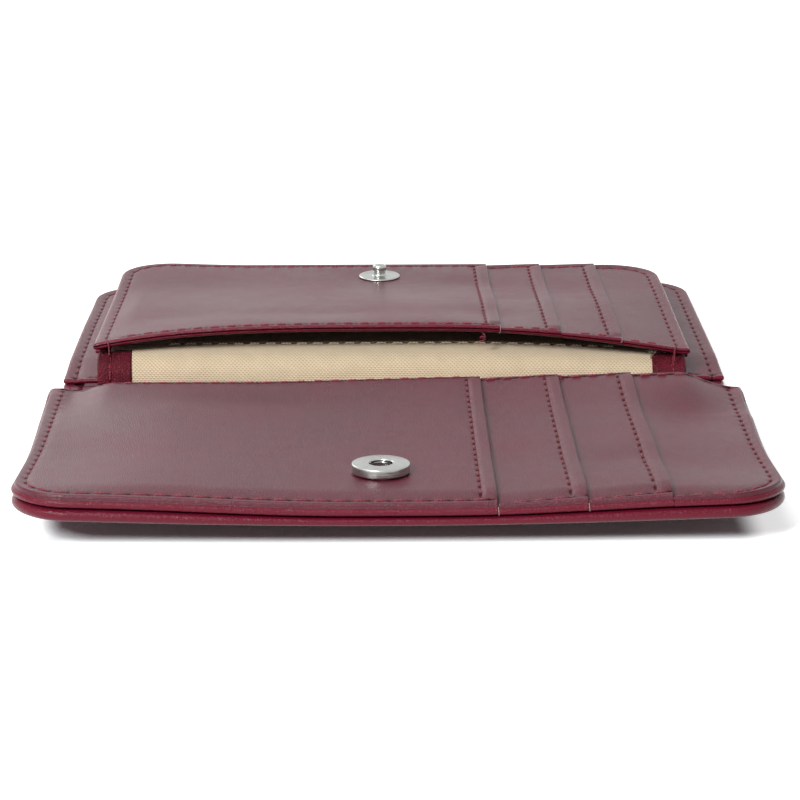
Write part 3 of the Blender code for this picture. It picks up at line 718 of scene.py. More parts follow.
gap = 0.2
lining_height = shell_ply + gap + thin / 2
back_lining = leaf_cloth("back_lining_cloth", BACK, lambda x, v: np.full_like(x, lining_height),
                         crease_y - BACK["start"], lining_inset)
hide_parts("back_lining")
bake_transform(back_lining)


# Inner panel of the back cover: the same leather, half a millimetre thick, sewn on at three edges.
# Its mouth toward the fold is turned over and sewn too, so it shows two red lines beside the page.
panel_ply = 0.5
BACK_MOUTH = 2.0
back_panel_top = 2.9
back_mouth_lift = 0.2
mouth_inset = 1.3


def mouth_seam(leaf, start, inset=mouth_inset):
    """Where a point stands by the straight seam along a mouth: x along it, and v across it."""
    return lambda x, v: (x - leaf["middle"], v - start - inset)


def back_panel_height(x, v):
    """The panel's top: flat, a little lifted at its mouth, and drawn down along its seams."""
    base = back_panel_top + back_mouth_lift * (1 - smooth(v / 18))
    base = base - 0.9 * smooth((np.abs(x) - 38) / 14) * (1 - smooth((v - 3) / 12))
    base = base - 0.7 * smooth((-x - 25) / 25) * smooth((v - 30) / 30)
    base = base - valley(rim_seam(x, v, BACK), 0.16, 0.5)
    return base - valley(mouth_seam(BACK, BACK_MOUTH)(x, v), 0.08, 0.4)


def back_panel_thick(x, v):
    """The panel's thickness: fuller along its three edges and at its mouth, and never down to the lining."""
    full = from_edge(x, v, BACK, panel_ply, shell_hem) + 0.3 * (1 - smooth((v - BACK_MOUTH - 1.2) / 0.6))
    return np.minimum(full, back_panel_height(x, v) - shell_hem - 0.05)


back_panel = ply(
    "back_pocket_panel", BACK, BURGUNDY, grid_lines(-57, 57, shell_hem / 2, shell_hem / 2),
    grid_lines(BACK_MOUTH, BACK["depth"], 0.4, shell_hem / 2), back_panel_height, back_panel_thick,
    lambda x, v, half: [(to_edge(x, v, BACK), half), (v - BACK_MOUTH, half)],
    seams={"rim_seam": lambda x, v: rim_seam(x, v, BACK), "mouth_seam": mouth_seam(BACK, BACK_MOUTH)},
    body="back_cover",
)
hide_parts("back_inner_panel")


# Back cover's stitching: one row of crimson polyester thread through both leathers, 2.1 mm in from the edge,
# and a row along the mouth. Each stitch lies in its trough and dives into a needle hole at both ends.
THREAD_RADIUS = 0.17


def thread_material(name, colour):
    """Twisted thread: fine slanting strands along it, painted darker in the grooves between them as shade and
    paler on their high points as highlight, and a little gloss.
    """
    material, tree, shader = new_material(name)
    strands = node(tree, "ShaderNodeAttribute", (-6, 0), attribute_name="strand")
    split = node(tree, "ShaderNodeSeparateXYZ")
    link(tree, strands.outputs["Vector"], split.inputs[0])
    turns = plus(tree, times(tree, split.outputs["X"], 11.0), split.outputs["Y"])
    # Painted shade and highlight of the twist.
    light = between(tree, calculate(tree, "SINE", turns), -0.9, 0.6)
    link(tree, mix_colour(tree, light, [c * 0.45 for c in colour], colour), shader["Base Color"])
    shader["Roughness"].default_value = 0.55
    add_bump(tree, shader, times(tree, light, 0.05))
    return material


CRIMSON = thread_material("crimson thread", (0.21, 0.012, 0.03))
# A darker copy of the crimson thread, painted shade for the slot seams' stitches, which lie deep in their
# troughs.
SHADED_CRIMSON = thread_material("crimson thread painted in shade", (0.15, 0.006, 0.017))


def stitches(name, starts, ends, ups, body, material=CRIMSON, radius=THREAD_RADIUS, sink=0.25, lift=0.07):
    """A row of stitches, each a short rod that swells in the middle and dives at both ends.

    Along a stitch the middle line rises by the lift times one less the fourth power of the place, and falls
    by the sink at its ends; the radius follows the root of one less the eighth power.
    """
    rings, sides = 9, 8
    place = np.linspace(-1, 1, rings)
    angle = np.linspace(0, 2 * np.pi, sides, endpoint=False)
    starts, ends, ups = (np.asarray(a, float) for a in (starts, ends, ups))
    along = ends - starts
    length = np.linalg.norm(along, axis=1, keepdims=True)
    along = along / length
    ups = ups - along * np.sum(ups * along, axis=1, keepdims=True)
    ups /= np.linalg.norm(ups, axis=1, keepdims=True)
    side = np.cross(along, ups)
    share = (place + 1) / 2
    centre = starts[:, None] + (ends - starts)[:, None] * share[None, :, None]
    raised = np.multiply.outer(lift * np.ones(len(starts)), 1 - place**4) - sink * place**8
    centre = centre + ups[:, None] * raised[:, :, None]
    wide = radius * np.maximum(1 - place**8, 0) ** 0.5
    turn = angle[None, None, :, None]
    ring = side[:, None, None] * np.cos(turn) + ups[:, None, None] * np.sin(turn)
    points = centre[:, :, None] + ring * wide[None, :, None, None]
    count = len(starts)
    index = np.arange(count * rings * sides).reshape(count, rings, sides)
    a, b = index[:, :-1], index[:, 1:]
    quads = np.stack([a, b, np.roll(b, -1, axis=2), np.roll(a, -1, axis=2)], axis=-1).reshape(-1, 4)
    strand = np.zeros((count, rings, sides, 3))
    strand[..., 0] = (share * length)[:, :, None]
    strand[..., 1] = angle[None, None, :]
    keep = np.arange(index.size)
    for end in (0, -1):
        keep[index[:, end]] = index[:, end, :1]
    return put_mesh(name, points.reshape(-1, 3), keep[quads], material, {"strand": strand}, body)


def rim_path(leaf, along, inset=SEAM_INSET):
    """The point of the outer seam at a distance along it, as x and v: the reverse of rim_seam."""
    radius, half = leaf["corner"], leaf["width"] / 2 - leaf["corner"]
    side_length, turn_radius = leaf["depth"] - radius, radius - inset
    arc = turn_radius * np.pi / 2
    total = 2 * side_length + 2 * arc + 2 * half
    mirrored = np.minimum(along, total - along)
    angle = np.clip((mirrored - side_length) / turn_radius, 0, np.pi / 2)
    edge = np.maximum(mirrored - side_length - arc, 0)
    from_middle = half + turn_radius * np.cos(angle) - edge
    v = np.minimum(mirrored, side_length) + turn_radius * np.sin(angle)
    sign = np.where(along < total / 2, -1, 1)
    return leaf["middle"] + sign * from_middle, v, total


def on_surface(leaf, height, x, v):
    """Points of a leaf's surface and the upward direction there, from small steps in x and v."""
    small = 0.05
    point = place_on(leaf, x, v, height(x, v))
    ahead_x = place_on(leaf, x + small, v, height(x + small, v)) - point
    ahead_v = place_on(leaf, x, v + small, height(x, v + small)) - point
    up = np.cross(ahead_x, ahead_v) * leaf["sign"]
    return point, up / np.linalg.norm(up, axis=1, keepdims=True)


def sew(name, leaf, height, holes, body, upward=1, **thread):
    """Stitches between each hole and the next, given as x and v, on the top or the underside of a surface."""
    x, v = holes
    points, ups = on_surface(leaf, height, x, v)
    starts, ends = points[:-1], points[1:]
    gap_between = thread.pop("gap_between", 0.16)
    starts, ends = starts + (ends - starts) * gap_between, ends + (starts - ends) * gap_between
    middle_up = upward * (ups[:-1] + ups[1:])
    across = np.abs(ends[:, 0] - starts[:, 0]) / np.linalg.norm(ends - starts, axis=1)
    thread.setdefault("lift", 0.02 + 0.13 * across)
    level = np.abs(ends[:, 2] - starts[:, 2]) < 0.3
    if not np.isscalar(thread["lift"]):
        thread["lift"] = thread["lift"][level]
    return stitches(name, starts[level], ends[level], middle_up[level], body, **thread)


def hole_places(leaf, first, inset=SEAM_INSET):
    """The rim seam's needle holes, one stitch apart, from a place to the same place on the other side."""
    _, _, total = rim_path(leaf, np.array([0.0]), inset)
    numbers = np.arange(math.ceil(first / STITCH), math.floor((total - first) / STITCH) + 1)
    x, v, _ = rim_path(leaf, numbers * STITCH, inset)
    return x, v


def mouth_holes(leaf, start, margin, inset=mouth_inset):
    """The needle holes of a seam along a mouth."""
    reach_x = leaf["width"] / 2 - margin
    numbers = np.arange(-math.floor(reach_x / STITCH), math.floor(reach_x / STITCH) + 1)
    x = leaf["middle"] + numbers * STITCH
    return x, np.full(len(x), start + inset)


sew("back_cover_stitches", BACK, back_panel_height, hole_places(BACK, BACK_MOUTH + 0.8), "back_cover")
sew("back_mouth_stitches", BACK, back_panel_height, mouth_holes(BACK, BACK_MOUTH, 3.2), "back_cover")
sew("back_outside_stitches", BACK, lambda x, v: valley(rim_seam(x, v, BACK), 0.10),
    hole_places(BACK, BACK_MOUTH + 0.8),
    "back_cover", upward=-1, lift=0.0, sink=0.0)


# Back of the page: the middle leaf's leather, thinner than the covers', its three edges turned over and sewn.
# It hangs from the cloth wall and rests a little above the back cover's pocket.
page_spread = 0.8
PAGE = {"width": 103.2, "depth": 63.8, "corner": 10.5, "middle": -0.9, "start": 7.7, "sign": 1}
PAGE.update(spread=(0.0, page_spread), spread_from=-1.0, spread_run=0.5, spread_across=(2.0, 22.0))
page_mouth_z, page_fall, page_thickness = 8.9, 1.6, 2.7
page_back_hem, page_hem = 0.9, 1.3
page_right_droop = 1.2


def page_plane(x, v):
    """Where the page would lie if flat: falling toward its outer edge, its right mouth corner lower."""
    across = (x - PAGE["middle"]) / (PAGE["width"] / 2)
    droop = page_right_droop * smooth((across - 0.2) / 0.8) * (1 - smooth(v / 50))
    raised = 0.6 * smooth((-across - 0.5) / 0.5) * smooth((v - 35) / 25)
    return page_mouth_z - page_fall * v / PAGE["depth"] - droop + raised


def page_back_bottom(x, v):
    """The page's underside, drawn up along its outer seam."""
    return page_plane(x, v) - page_thickness + valley(rim_seam(x, v, PAGE), 0.08)


def page_back_thick(x, v):
    """The thickness of the page's back, less what its seam draws up."""
    return from_edge(x, v, PAGE, panel_ply, page_back_hem) - valley(rim_seam(x, v, PAGE), 0.08)


half_page = PAGE["width"] / 2
page_xs = grid_lines(PAGE["middle"] - half_page, PAGE["middle"] + half_page, page_back_hem / 2,
                     page_back_hem / 2)
page_back_start = 3.2
page_back = ply(
    "page_back_leather", PAGE, BURGUNDY, page_xs,
    grid_lines(page_back_start, PAGE["depth"], 0.25, page_back_hem / 2),
    lambda x, v: page_back_bottom(x, v) + page_back_thick(x, v), page_back_thick,
    lambda x, v, half: [(to_edge(x, v, PAGE), half), (v - page_back_start, half)],
    seams={"rim_seam": lambda x, v: rim_seam(x, v, PAGE)}, body="page",
)
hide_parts("page_back_panel")
sew("page_outside_stitches", PAGE, lambda x, v: page_back_bottom(x, v),
    hole_places(PAGE, page_back_start + 0.8),
    "page", upward=-1, lift=0.04, sink=0.1)


# Hinge wall: beige cotton twill sewn into the fold. It stands up, rolls back over and goes into the page's
# pocket, where a beige seam joins it to the pocket's lining of the same twill.
TWILL = cloth("beige twill", (0.72, 0.58, 0.40), (0.19, 0.135, 0.075), 0.66, 0.34, 0.06)
wall_foot = (7.75, 1.55)
wall_back_y = 14.5
wall_half = half_page - lining_inset
wall_power = 2 / 3.0


def pocket_floor(x, v):
    """Middle height of the pocket's twill lining."""
    return page_plane(x, v) - page_thickness + panel_ply + gap + thin / 2


def wall_path(x, angle):
    """The wall's section: a quarter of a superellipse of third power, upright below and level above."""
    top = pocket_floor(x, wall_back_y - PAGE["start"])
    y = wall_back_y - (wall_back_y - wall_foot[0]) * np.cos(angle) ** wall_power
    z = wall_foot[1] + (top - wall_foot[1]) * np.sin(angle) ** wall_power
    return y, z


wall_lines = np.linspace(PAGE["middle"] - wall_half, PAGE["middle"] + wall_half, 70)
wall_x, wall_angle = np.meshgrid(wall_lines, np.linspace(0, np.pi / 2, 40))
wall_y, wall_z = wall_path(wall_x, wall_angle)
slack = 0.12 * np.sin(wall_x / 7.3) * np.sin(wall_x / 3.1 + 1) * np.sin(2 * wall_angle)
wall = cloth_sheet("hinge_wall_twill", wall_x, wall_y - slack, wall_z, TWILL, (0, -1, 1))
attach(wall, "page")
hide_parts("page_hinge")

floor_start = wall_back_y - PAGE["start"] + 0.2
floor_cloth = leaf_cloth("page_pocket_twill", PAGE, pocket_floor, floor_start, lining_inset, TWILL)
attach(floor_cloth, "page")
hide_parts("page_lining")

BEIGE = thread_material("beige thread", (0.86, 0.74, 0.52))
beige_stitch = 2.8
beige_v = wall_back_y - PAGE["start"] - 0.9
beige_reach = math.floor((wall_half - 7) / beige_stitch)
beige_x = PAGE["middle"] + np.arange(-beige_reach, beige_reach + 1) * beige_stitch
sew("twill_seam_stitches", PAGE,
    lambda x, v: pocket_floor(x, np.full_like(x, wall_back_y - PAGE["start"])) + thin / 2 + 0.02,
    (beige_x, np.full(len(beige_x), beige_v)), "page", material=BEIGE, lift=0.2, sink=0.35, gap_between=0.09)


# Facings: strips of grained burgundy leather sewn over both ends of the cloth wall.
# A red seam runs down each, and its thread comes out of the page's side seam above it.
FACING = leather("grained facing leather", (0.16, 0.008, 0.022), (0.075, 0.004, 0.011), 0.5, 2300.0, 0.22,
                 specular=0.25)
facing_width = 5.9
facing_thickness = 0.3
facing_off = 0.42
facing_inset = 0.6
facing_seam_inset = 2.2
left_drop, right_drop = 2.15, 1.95


def facing_surface(x, t):
    """The wall's section, moved out toward the fold; t runs from 0 at the foot to 1 at the strip's top."""
    top = page_plane(x, 0 * x) - np.where(x < 0, left_drop, right_drop)
    z = wall_foot[1] + (top - wall_foot[1]) * t
    full = pocket_floor(x, wall_back_y - PAGE["start"]) - wall_foot[1]
    sine = np.minimum((z - wall_foot[1]) / full, 0.97) ** (1 / wall_power)
    y = wall_back_y - (wall_back_y - wall_foot[0]) * np.maximum(1 - sine**2, 0) ** (wall_power / 2)
    return y - facing_off, z


def facing(name, side, replaced):
    """One strip on the wall's end, with round edges, dipped along its seam, and the seam's stitches."""
    outer = PAGE["middle"] + side * (half_page - facing_inset) + (page_spread if side > 0 else 0)
    inner = outer - side * facing_width
    x, t = np.meshgrid(np.linspace(min(outer, inner), max(outer, inner), 30), np.linspace(0, 1, 26))
    y, z = facing_surface(x, t)
    middle = np.stack([x, y, z], axis=-1)
    normal = np.cross(np.gradient(middle, axis=1), np.gradient(middle, axis=0))
    normal /= np.linalg.norm(normal, axis=-1, keepdims=True)
    edge = np.minimum(np.minimum(x - min(outer, inner), max(outer, inner) - x), (1 - t) * 4)
    half = facing_thickness / 2 * quarter_round(edge / 0.2)[..., None]
    seam_x = outer - side * facing_seam_inset
    dip = (0.1 * np.exp(-(((x - seam_x) / 0.5) ** 2)))[..., None]
    points, quads = shell_mesh(middle + normal * (half - dip), middle - normal * half)
    far_away = np.stack([0 * x + 99.0, 0 * x + 99.0, 0 * x], axis=-1)
    down = np.stack([z, x - seam_x, 0 * z], axis=-1)
    attributes = {key: np.concatenate([down if key == "slot_seam" else far_away] * 2) for key in SEAMS}
    put_mesh(name, points, quads, FACING, attributes, "page", replaced)
    z_holes = np.array([2.1, 4.2, 6.2])
    top = page_plane(np.array([seam_x]), 0.0)[0] - (left_drop if side < 0 else right_drop)
    t_holes = (z_holes - wall_foot[1]) / (top - wall_foot[1])
    y_holes, z_holes = facing_surface(np.full(3, seam_x), t_holes)
    spots = np.stack([np.full(3, seam_x), y_holes - facing_thickness / 2, z_holes], axis=-1)
    stitches(name + "_stitches", spots[:-1], spots[1:], np.tile([0, -1.0, 0.15], (2, 1)), "page", sink=0.12)


facing("hinge_facing_left", -1, "page_hinge_facing_left")
facing("hinge_facing_right", 1, "page_hinge_facing_right")


# Card plies of the page: a wide face and three stepped strips, each half a millimetre thick, over a thin ply.
# Each slot edge is turned over and sewn; each strip starts under its neighbour and climbs to its own edge.
# The pocket's mouth gapes, so the face arches up between the side seams.
slot_inset = 2.4
tongue = 4.0
lip_steps = np.array([0, 0.01, 0.04, 0.09, 0.16, 0.25, 0.35, 0.44, 0.49, 0.505, 0.52, 0.55, 0.6, 0.67, 0.75,
                      0.85])


page_hollows = ((-14, 12, 22, 5, 0.3), (-38, 14, 8, 6, 0.3), (16, 13, 7, 6, 0.3), (-2.6, 51.5, 7, 6, 0.42),
                (13, 47, 7, 5, 0.3), (23, 30, 4, 9, 0.22), (34, 42, 4, 8, 0.25), (44, 26, 5, 10, 0.3),
                (-38, 46, 9, 8, 0.3), (-20, 22, 14, 9, 0.2))


def page_arch(x, v):
    """How the face stands up: by one less a power of the place across at the mouth, and level farther in."""
    across = (x - PAGE["middle"]) / half_page
    rise = np.where(across < 0, 3.15 * (1 - np.abs(across) ** 3.3), 3.15 - 3.45 * np.abs(across) ** 2.6)
    side = half_page - np.abs(x - PAGE["middle"]) - hem_width
    most = 0.9 * (1 - smooth((v - 20) / 30))
    flat = most * smooth(side / 4) * smooth((PAGE["depth"] - v - hem_width) / 4)
    share = 1 - smooth(v / 46)
    return np.maximum(rise, 0) * share + flat * (1 - share)


def page_top(x, v):
    """The page's card face before any step, with the pull of its outer seam and the mouth's."""
    pull = valley(rim_seam(x, v, PAGE), 0.13, 0.5) + valley(mouth_seam(PAGE, 0)(x, v), 0.08, 0.4)
    ripple = 0.05 * np.sin(x / 6.1 + 0.5) * np.sin(v / 8.3) * smooth((to_edge(x, v, PAGE) - 3) / 5)
    return page_plane(x, v) + page_arch(x, v) - pull + ripple - hollows(x, v, PAGE, page_hollows)


def card_plies(prefix, leaf, names, slots, step, last_fall, top, hem, double_mouth, body,
               lip=None):
    """The four stepped plies of one leaf, right of each other, and the stitching of their slot edges.
    """
    right = leaf["middle"] + leaf["width"] / 2
    left = leaf["middle"] - leaf["width"] / 2
    slot_x = [right - slot for slot in slots]
    slot_round = panel_ply / 2
    heights = {}
    for k, label in enumerate(names):
        first, last = k == 0, k == len(names) - 1
        begins = left if first else slot_x[k - 1]
        ends = right if last else slot_x[k]
        above = step / (begins - slot_x[k - 2]) if k > 1 else 0.0
        reach_up = step - last_fall if last else step
        seam_x = ends - slot_inset

        def fall(x, v, first=first, begins=begins, ends=ends, above=above, reach_up=reach_up):
            """How far this ply lies below the leaf's top: a step at its start, less toward its own edge."""
            if first:
                return np.zeros_like(x)
            own = step - reach_up * (x - begins) / (ends - begins)
            pressed = 0.5 * (1 - smooth((np.minimum(to_edge(x, v, leaf), v) - 0.6) / 1.6))
            return np.where(x < begins, step + above * (begins - x), own) * (1 - pressed)

        def slot_place(x, v, last=last, seam_x=seam_x):
            on_hem = np.minimum(v, leaf["depth"] - v) < 1.4
            return v, np.where(on_hem | last, 99.0, x - seam_x)

        def mouth_place(x, v):
            along, across = mouth_seam(leaf, 0)(x, v)
            return along, np.where((v < 0.5) | (to_edge(x, v, leaf) < 1.4), 99.0, across)

        def height(x, v, fall=fall, slot_place=slot_place, last=last, ends=ends):
            turned = 0.0 if last else 0.24 * smooth((x - (ends - slot_inset - 0.2)) / 1.2)
            pull = 0.0 if last else valley(slot_place(x, v), 0.14, 0.45)
            away = smooth((np.minimum(v, leaf["depth"] - v) - 1.5) / 2)
            return top(x, v) - fall(x, v) + turned * away - pull * away

        def thick(x, v, fall=fall):
            nearest = np.minimum(to_edge(x, v, leaf), v)
            share = smooth((nearest - hem_width) / hem_run_out)
            return (hem - fall(x, v)) * (1 - share) + panel_ply * share

        def squeeze(x, v, begins=begins):
            """Draws the hidden tongue in where the neighbour's thick hem leaves it no room."""
            room = smooth((np.minimum(v, leaf["depth"] - v) - hem_width - 0.3) / 1.2)
            return np.where(x < begins, begins + 0.04 + (x - begins) * (0.004 + 0.996 * room),
                            x + 0.04 * (x < begins + 0.04))

        def rounding(x, v, half, first=first, last=last, begins=begins, ends=ends):
            edges = [(to_edge(x, v, leaf), half), (v, half if not double_mouth else 1e-6)]
            if not last:
                edges.append((ends - x, np.where(np.minimum(v, leaf["depth"] - v) < 1.2, 0.1, slot_round)))
            if not first:
                in_hem = np.minimum(v, leaf["depth"] - v) < hem_width + 0.6
                edges.append((np.where(in_hem, x - begins, 99.0), np.full_like(x, 0.1)))
            return edges

        edge = lip_steps if lip else hem / 2
        round_left = edge if first else 0
        round_right = edge if last else slot_round
        inner = grid_lines(begins, ends, round_left, round_right, out_to=3.3 if first or last else 1.2)
        if not first:
            start_lines = begins + np.array([0.04, 0.1, 0.2, 0.35])
            inner = np.concatenate([begins - np.array([tongue, 3, 2, 1.2, 0.6, 0.25]), start_lines,
                                    inner[inner > begins + 0.5]])
        vs = grid_lines(0, leaf["depth"], hem / 2, edge)
        lifts = None
        if double_mouth:
            around = np.array([0, 0.05, 0.1, 0.16, 0.24, 0.34, 0.5, 0.7, 0.95, 1.2, np.pi / 2])
            notch = 0.35 * np.exp(-((around / 0.17) ** 2))
            vs = np.concatenate([hem / 2 * (1 - np.cos(around)) + notch, vs[vs > hem / 2 + 0.05]])
            lifts = np.sin(around)
        seams = {
            "rim_seam": lambda x, v: rim_seam(x, v, leaf),
            "mouth_seam": mouth_place,
            "slot_seam": slot_place,
        }
        corners = ([-1] if first else []) + ([1] if last else [])
        made = ply(f"{prefix}_{label}_leather", leaf, BURGUNDY, inner, vs, height, thick, rounding, corners,
                   seams,
                   None if first else squeeze, lifts, lip, body=body)
        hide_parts(f"{prefix}_{label}")
        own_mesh(made)
        heights[label] = (height, begins)
        if not last:
            v_holes = np.arange(1, math.floor((leaf["depth"] - 1.6) / STITCH) + 1) * STITCH
            sewn = sew(f"{prefix}_{label}_stitches", leaf, height, (np.full(len(v_holes), seam_x), v_holes),
                       body,
                       material=SHADED_CRIMSON, radius=0.24, lift=0.05, gap_between=0.2)
            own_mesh(sewn)

    def whole(x, v):
        """The leaf's top with all its steps."""
        result = heights[names[0]][0](x, v)
        for label in names[1:]:
            height, begins = heights[label]
            result = np.where(x >= begins, height(x, v), result)
        return result

    for label, holes in (("rim", hole_places(leaf, 1.6)), ("mouth", mouth_holes(leaf, 0, 3.0))):
        sewn = sew(f"{prefix}_{label}_stitches", leaf, whole, holes, body)
        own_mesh(sewn)


CARD_NAMES = ("card_face", "card_strip_middle", "card_strip_outer", "card_end")
card_plies("page", PAGE, CARD_NAMES, (32.9, 22.5, 11.7), 0.62, 0.35, page_top, page_hem, True, "page")
card_lining_inset = 3.2
page_card_lining = leaf_cloth(
    "page_card_lining_cloth", PAGE, lambda x, v: page_plane(x, v) + page_arch(x, v) - 1.5, card_lining_inset,
    card_lining_inset
)
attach(page_card_lining, "page")
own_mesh(page_card_lining)
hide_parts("page_card_lining")


# Spine: the strip of outer leather between the two creases, and its lining.
# The covers' leather meets it at the creases, as one sheet does on the real case.
front_crease_end = -4.8


spine_half = COVER["width"] / 2
spine_lines = np.linspace(0, crease_y - front_crease_end, 24)
spine_xs = grid_lines(-spine_half, spine_half, shell_ply / 2, shell_ply / 2)
spine_leaf = {"width": 2 * spine_half, "depth": 99.0, "corner": 0.1, "middle": 0.0, "start": crease_y,
              "sign": -1}
spine_leather = ply(
    "spine_leather", spine_leaf, BURGUNDY, spine_xs, spine_lines,
    lambda x, v: np.full_like(x, shell_ply), lambda x, v: np.full_like(x, shell_ply),
    lambda x, v, half: [(spine_half - np.abs(x), half)], corners=(),
)
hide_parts("spine_strip")
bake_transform(spine_leather)
cloth_half = spine_half - lining_inset
spine_x, spine_v = np.meshgrid(grid_lines(-cloth_half, cloth_half, thin / 2, thin / 2), spine_lines)
spine_cloth = cloth_sheet("spine_lining_cloth", spine_x, crease_y - spine_v,
                          np.full_like(spine_x, lining_height),
                          LINING)
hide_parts("spine_lining")
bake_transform(spine_cloth)


# Outer leather of the front cover: the lower of the two beads along the near edge.
# It springs up toward its outer edge, and a little more at its sides.
front_rise, front_side_rise, front_side_rise_at_end = 4.0, 1.9, 1.2
front_sew_start = 18.0


def front_bottom(x, v):
    """The front cover's underside: it rises along v, and toward its sides with the square of x."""
    share = np.clip(v / FRONT["depth"], 0, 2)
    side = front_side_rise + (front_side_rise_at_end - front_side_rise) * share
    across = (2 * x / FRONT["width"]) ** 2
    return front_rise * share + side * across * smooth(v / front_sew_start)


def fuller_bead(x, v):
    """How much thicker the lower bead is toward the near corners, where the leather is gathered."""
    return 0.7 * smooth((np.abs(x) - 8) / 35) * smooth((v - 40) / 25)


crease_reach = front_crease_end - FRONT["start"]
front_outer = cover_shell("front_outer_leather", FRONT, front_bottom, crease_reach, fuller_bead)
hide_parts("front_cover_outer")
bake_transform(front_outer)
front_lining = leaf_cloth("front_lining_cloth", FRONT, lambda x, v: front_bottom(x, v) + lining_height,
                          -crease_reach, lining_inset)
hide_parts("front_lining")
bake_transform(front_lining)


# Card plies of the front cover: a wide face with the socket, and three stepped strips.
# The slip pocket under them gapes toward the fold, and the plies come down to the cover at its three seams.
front_thickness, front_mouth_height, front_bulge = 3.45, 6.3, 0.5
front_hem = 1.95
gape_share = 0.6
FRONT_FACE = dict(FRONT, spread=(1.5, 1.6), spread_from=44.0, spread_run=-44.0, spread_across=(51.5, 57.0))
front_hollows = ((46, 20, 8, 8, 0.85), (33, 47, 7, 5.5, 0.6), (18.7, 44, 6, 8, 0.35), (-25, 9, 20, 6, 0.4),
                 (0, 38, 26, 12, 0.25), (46, 50, 8, 8, 0.3), (-44, 44, 9, 12, 0.25))


def front_top(x, v):
    """The front cover's card face before any step: sewn down at its sides, gaping at the mouth."""
    gape = front_mouth_height - front_thickness
    across = smooth((np.abs(2 * x / FRONT["width"]) - gape_share) / (1 - gape_share))
    share = v / FRONT["depth"]
    bulge = front_bulge * share * smooth((FRONT["depth"] - v - hem_width) / 4)
    middle = gape * (1 - share) + bulge
    side = gape * (1 - smooth(v / front_sew_start))
    pull = valley(rim_seam(x, v, FRONT), 0.16, 0.5) + valley(mouth_seam(FRONT, 0)(x, v), 0.08, 0.4)
    ripple = 0.07 * np.sin(x / 9.1 + 1.5) * np.sin(v / 11.3 + 0.6)
    ripple = ripple * smooth((to_edge(x, v, FRONT) - 3) / 6) * smooth(v / 6)
    lifted = 1.75 * np.clip((x + 22) / 74, 0, 1) * (1 - smooth(v / 17))
    left_corner = 1.6 * smooth((-x - 47.4) / 7) - 0.7 * smooth((-x - 53.4) / 1.6)
    right_corner = 2.8 * smooth((x - 47.6) / 8.6)
    corner = (left_corner + right_corner) * (1 - smooth(v / 20))
    face = front_bottom(x, v) + front_thickness + fuller_bead(x, v) + middle + (side - middle) * across
    return face - pull + ripple + lifted - corner - hollows(x, v, FRONT, front_hollows)


front_lip = (0.58, 0.5, 0.34)
card_plies("front", FRONT_FACE, CARD_NAMES, (42.7, 29.6, 17.3), 0.75, 0.35, front_top, front_hem, False,
           "front_cover",
           front_lip)


def front_lining_height(x, v):
    """The ply behind the cards: near the cover, and up by a share of how far the face gapes."""
    gape = front_top(x, v) - front_bottom(x, v) - front_thickness
    return front_bottom(x, v) + shell_hem + 0.3 + 0.35 * gape + thin / 2


front_card_lining = leaf_cloth("front_card_lining_cloth", FRONT, front_lining_height, card_lining_inset,
                               card_lining_inset)
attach(front_card_lining, "front_cover")
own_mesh(front_card_lining)
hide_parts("front_card_lining")
sew("front_outside_stitches", FRONT, lambda x, v: front_bottom(x, v) + valley(rim_seam(x, v, FRONT), 0.10),
    hole_places(FRONT, 1.6),
    "front_cover", upward=-1, lift=0.04, sink=0.1)


# Press snap: nickel-plated brass. The page carries the stud on a flange, riveted from inside.
# The front cover carries the ring-shaped socket; a U of wire crosses its bore and grips the stud's neck.
def metal(name, colour, roughness, scratch):
    """Plated metal, its roughness clouded by handling, with fine turned lines in the bump."""
    material, tree, shader = new_material(name)
    place = node(tree, "ShaderNodeTexCoord", (-6, 0)).outputs["Object"]
    turned_place = node(tree, "ShaderNodeAttribute", (-6, 0),
                        attribute_name="turned_place").outputs["Vector"]
    cloud = noise(tree, place, 900.0, 4.0, 0.6)
    rings = noise(tree, turned_place, 6.0, 3.0, 0.7)
    shader["Metallic"].default_value = 1.0
    tone = between(tree, cloud, 0.25, 0.75)
    link(tree, mix_colour(tree, tone, [c * 0.86 for c in colour], colour), shader["Base Color"])
    rough = plus(tree, times(tree, cloud, 0.14), roughness - 0.07)
    link(tree, rough, shader["Roughness"])
    add_bump(tree, shader, times(tree, rings, scratch))
    return material


NICKEL = metal("nickel plate", (0.47, 0.48, 0.46), 0.24, 0.03)
STEEL = metal("spring steel wire", (0.62, 0.62, 0.63), 0.3, 0.01)


def tilted(points, tilt, spot):
    """Points turned about x by an angle and set down at a spot."""
    x, y, z = np.moveaxis(points, -1, 0)
    cos, sin = math.cos(tilt), math.sin(tilt)
    return (np.stack([x, cos * y - sin * z, sin * y + cos * z], axis=-1) + np.asarray(spot)).reshape(-1, 3)


def height_at(top, x, v):
    """The height of a surface at one place."""
    return float(top(np.array([x]), np.array([v]))[0])


